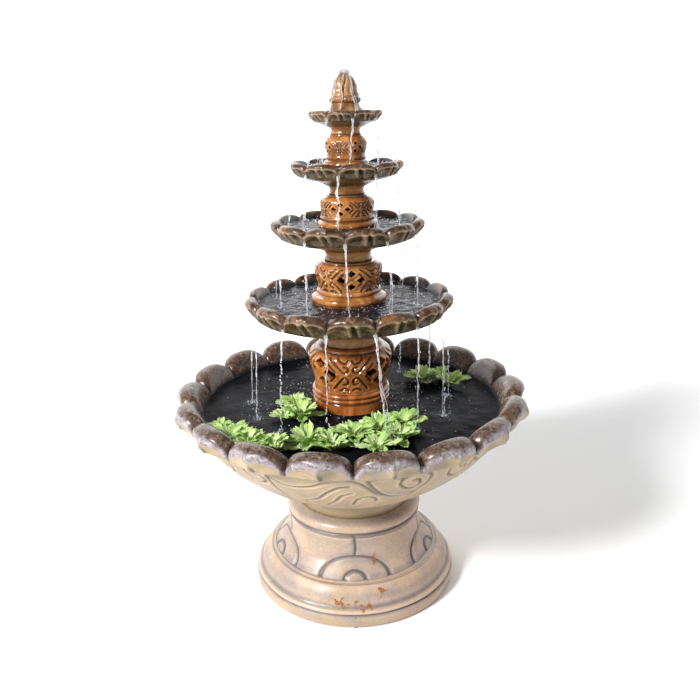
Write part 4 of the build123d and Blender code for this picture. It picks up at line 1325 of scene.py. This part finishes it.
def water_surface(name, landings, material):
    """Rippled sheet of water round the column, closed underneath."""
    spec = WATER[name]
    rng = np.random.default_rng(len(name) * 100 + spec["columns"])
    angles = np.linspace(0, 2 * np.pi, spec["columns"], endpoint=False)
    r = np.linspace(spec["from"], spec["to"], spec["rows"])[:, None] * np.ones(spec["columns"])
    x, y = r * np.sin(angles), -r * np.cos(angles)
    z = np.zeros_like(r)
    foam = np.zeros_like(r)
    size = 0.45 + 0.55 * spec["to"] / 322
    for px, py in landings:
        d = np.hypot(x - px, y - py)
        length = rng.uniform(6, 9) * size
        z += 0.8 * size * np.exp(-d / (14 * size)) * np.cos(2 * np.pi * d / length)
        foam = np.maximum(foam, np.maximum(bell(d, 9 * size), 0.35 * np.exp(-d / (20 * size))))
    for _ in range(24):
        heading = rng.uniform(0, 2 * np.pi)
        length = rng.uniform(9, 60) * size
        phase = rng.uniform(0, 2 * np.pi)
        travel = (x * math.cos(heading) + y * math.sin(heading)) / length
        z += spec["chop"] * length * np.sin(2 * np.pi * travel + phase)
    z *= smoothstep(0, 5, r - spec["from"]) * smoothstep(0, 5, spec["to"] - r)
    top = np.stack([r, spec["level"] + z], -1)
    low = np.stack([r[[-1, 0]], np.full((2, spec["columns"]), spec["level"] - WATER_DEPTH)], -1)
    profile = np.concatenate([top, low])
    low_foam = np.zeros((2, spec["columns"]))
    shades = {"foam": np.concatenate([foam, low_foam])}
    made = lathe(name + "_water", profile[..., 0], profile[..., 1], angles, True, shades, material)
    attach(made, name)


def make_water(water, tier_water, clear):
    plan = plan_streams()
    order = ["basin", "bowl_1", "bowl_2", "bowl_3", "bowl_4"]
    landings = {name: [] for name in order}
    for below, above in zip(order, order[1:]):
        threads, drops = Pile(), Pile()
        for angle, throw, seed in plan[above]:
            landing = stream(threads, drops, above, angle, throw, seed, WATER[below]["level"] - 1)
            landings[below].append(landing)
        threads.build(above + "_streams", above, clear)
        drops.build(above + "_drops", above, clear)
    ring = np.linspace(0, 2 * np.pi, 9, endpoint=False)
    landings["bowl_4"] = [(44 * math.cos(a), 44 * math.sin(a)) for a in ring]
    for name in order:
        water_surface(name, landings[name], water if name == "basin" else tier_water)
    sparkles(clear)
    jet(clear)


def sparkles(clear):
    """Drops thrown up over each water surface."""
    rng = np.random.default_rng(41)
    for name, count in SPARKLES.items():
        spec = WATER[name]
        pile = Pile()
        for _ in range(count):
            angle = rng.uniform(0, 2 * np.pi)
            reach = spec["from"] + 6 + (spec["to"] - spec["from"] - 10) * rng.beta(1.3, 2.0)
            high = abs(rng.normal(0, 4.5)) if rng.random() < 0.5 else 0.2
            spot = (reach * math.sin(angle), -reach * math.cos(angle), spec["level"] + high)
            blob(pile, spot, rng.uniform(0.45, 1.25), rng.uniform(0.7, 1.6))
        pile.build(name + "_sparkles", name, clear)


def jet(clear):
    """Low bubbling head of water on the tip, and the threads and beads that run down from it."""
    rng = np.random.default_rng(8)
    pile = Pile()
    for _ in range(95):
        turn, reach = rng.uniform(0, 6.3), 11 * math.sqrt(rng.uniform(0, 1))
        high = 1099.5 + 6.0 * max(0.0, 1 - (reach / 12) ** 2) * rng.uniform(0.6, 1.15)
        spot = (reach * math.cos(turn), reach * math.sin(turn), high)
        blob(pile, spot, rng.uniform(0.9, 2.3), rng.uniform(0.8, 1.3))
    guide = [
        (8, 1100.8), (12.5, 1098), (17, 1091.5), (22, 1083), (25, 1074), (28.5, 1061), (33, 1048), (41, 1026),
    ]
    for k in range(11):
        turn = 2 * math.pi * k / 11 + rng.normal(0, 0.2)
        line = smooth_curve(guide, 44)
        out = np.array([math.cos(turn), math.sin(turn), 0])
        side = np.array([-math.sin(turn), math.cos(turn), 0])
        path = line[:, :1] * out + (1.6 * np.sin(line[:, 1:] / 7 + k)) * side
        path[:, 2] = line[:, 1]
        width = rng.uniform(0.9, 2.0) * (1 + 0.4 * np.sin(line[:, 1] / 3 + k))
        tube(pile, path, width, 0.6 * width, side)
        for at in path[rng.integers(4, 44, 9)]:
            blob(pile, at + rng.normal(0, 1.8, 3) * (1, 1, 2), rng.uniform(0.5, 1.2), rng.uniform(0.9, 1.8))
    pile.build("finial_jet", "finial", clear)


# ================================================================ water lettuce
LEAF_TURN = 2.4  # radians from one leaf to the next


def leaf(pile, rng, length, width, lift, turn, base):
    """One ribbed spoon-shaped leaf standing up from the heart of a plant."""
    rows, columns = 17, 19
    u = np.linspace(0, 1, rows)[:, None]
    v = np.linspace(-1, 1, columns)[None, :]
    bend_over = rng.uniform(0.35, 1.15)
    slope = lift * (1 - bend_over * u**1.3)
    step = length / (rows - 1)
    along = np.concatenate([[0], np.cumsum(np.cos(slope[1:, 0])) * step])[:, None]
    climb = np.concatenate([[0], np.cumsum(np.sin(slope[1:, 0])) * step])[:, None]
    half = 0.5 * width * (0.16 + 0.84 * np.sin(np.clip(u / 0.80, 0, 1) * np.pi / 2) ** 1.6)
    half = half * np.sqrt(np.clip(1 - np.clip((u - 0.70) / 0.37, 0, 1) ** 3, 0.02, 1))
    notch = rng.uniform(0.03, 0.11)
    wave = 0.06 * np.cos(3 * np.pi * v + rng.uniform(-0.6, 0.6))
    tip = length * u**4 * (wave - notch * bell(v, 0.22))
    x = along + tip * np.cos(slope) - 0.05 * length * v**2 * u
    y = half * v
    cup = rng.uniform(0.10, 0.28) * width * np.abs(v) ** 1.8 * np.sin(np.pi * np.clip(u, 0, 0.8))
    frill = 0.055 * width * np.sin(2.6 * np.pi * v + rng.uniform(0, 6.3)) * u**2.0
    ruffle = np.sin(9 * np.pi * u + rng.uniform(0, 6.3)) * np.sign(v)
    ruffle = ruffle + np.sin(5 * np.pi * u + rng.uniform(0, 6.3))
    frill = frill + 0.045 * width * ruffle * np.abs(v) ** 2.5 * np.sin(np.pi * np.clip(u, 0, 0.9))
    ribs = np.cos(2 * np.pi * 3.0 * v)
    z = climb + tip * np.sin(slope) + cup + frill + 0.55 * ribs * np.sin(np.pi * np.clip(u, 0, 0.9)) ** 0.5
    top = np.stack([x * np.ones_like(v), y * np.ones_like(u), z], -1)
    c, s = math.cos(turn), math.sin(turn)
    turned = np.stack([c * top[..., 0] - s * top[..., 1], s * top[..., 0] + c * top[..., 1], top[..., 2]], -1)
    verts, quads = shell(turned + np.asarray(base), 0.7)
    rib = np.clip(ribs, 0, 1) ** 3 * (1 - 0.6 * u)
    rib = np.maximum(rib, 0.6 * np.clip((np.abs(v) - 0.9) / 0.1, 0, 1) * np.ones_like(u))
    heart = np.clip(1 - u / 0.35, 0, 1) * np.ones_like(v)
    face = np.concatenate([rib.ravel(), 0.5 * rib.ravel()])
    # The back sheet of each leaf carries the painted shade of the underside.
    under = np.concatenate([np.zeros(rows * columns), np.full(rows * columns, 0.45)])
    tint = np.full(len(verts), rng.uniform(0, 1))
    pile.add(verts, quads, rib=face, heart=np.tile(heart.ravel(), 2), under=under, tint=tint)


def make_lettuce(material):
    """Floating plants, in clusters near the front, beside the column and at the back right."""
    rng = np.random.default_rng(77)
    plants = [
        (-238, -196, 46), (-200, -226, 48), (-150, -240, 46), (-262, -150, 34),
        (-84, -226, 50), (-40, -246, 46), (2, -206, 50), (48, -256, 44),
        (54, -176, 48), (104, -150, 48), (92, -212, 42),
        (-118, -42, 44), (-104, -96, 46), (-142, -100, 32),
        (172, 108, 48), (226, 70, 44), (214, 124, 36),
    ]
    for number, (x, y, size) in enumerate(plants, 1):
        pile = Pile()
        count = 14 if size > 40 else 10
        for k in range(count):
            inner = k / count
            turn = k * LEAF_TURN + rng.normal(0, 0.15)
            lift = math.radians(24 + 52 * inner + rng.normal(0, 9))
            length = size * (1.06 - 0.42 * inner) * rng.uniform(0.9, 1.1)
            start = (x + 3 * math.cos(turn), y + 3 * math.sin(turn), 422 + 3.5 * inner)
            leaf(pile, rng, length, length * rng.uniform(0.42, 0.62), lift, turn, start)
        pile.build(f"water_lettuce_{number}", "basin", material)


# ================================================================ run
studio()
look_camera()
dress_fittings()
STONE = stone_look()
BASIN = basin_look()
BOWL = bowl_look()
AMBER = column_look("column_glaze", (0.17, 0.043, 0.008), (0.38, 0.118, 0.022), (0.60, 0.235, 0.062))
HONEY = column_look("column_glaze_upper", (0.18, 0.055, 0.010), (0.39, 0.142, 0.028), (0.62, 0.28, 0.080))
BUD = column_look("finial_glaze", (0.13, 0.052, 0.017), (0.30, 0.135, 0.046), (0.50, 0.29, 0.125))
make_pedestal(STONE)
make_basin(BASIN)
for bowl_name, bowl_spec in TIER_BOWLS.items():
    make_tier_bowl(bowl_name, bowl_spec, BOWL)
for column_name, column_spec in COLUMNS.items():
    make_column(column_name, column_spec, AMBER if column_name == "column_1" else HONEY)
make_finial(BUD)
make_water(
    water_look("water_basin", (0.003, 0.003, 0.004), (0.008, 0.008, 0.010), 0.02),
    water_look("water_tiers", (0.006, 0.006, 0.008), (0.022, 0.023, 0.028), 0.08),
    stream_look(),
)
make_lettuce(leaf_look())
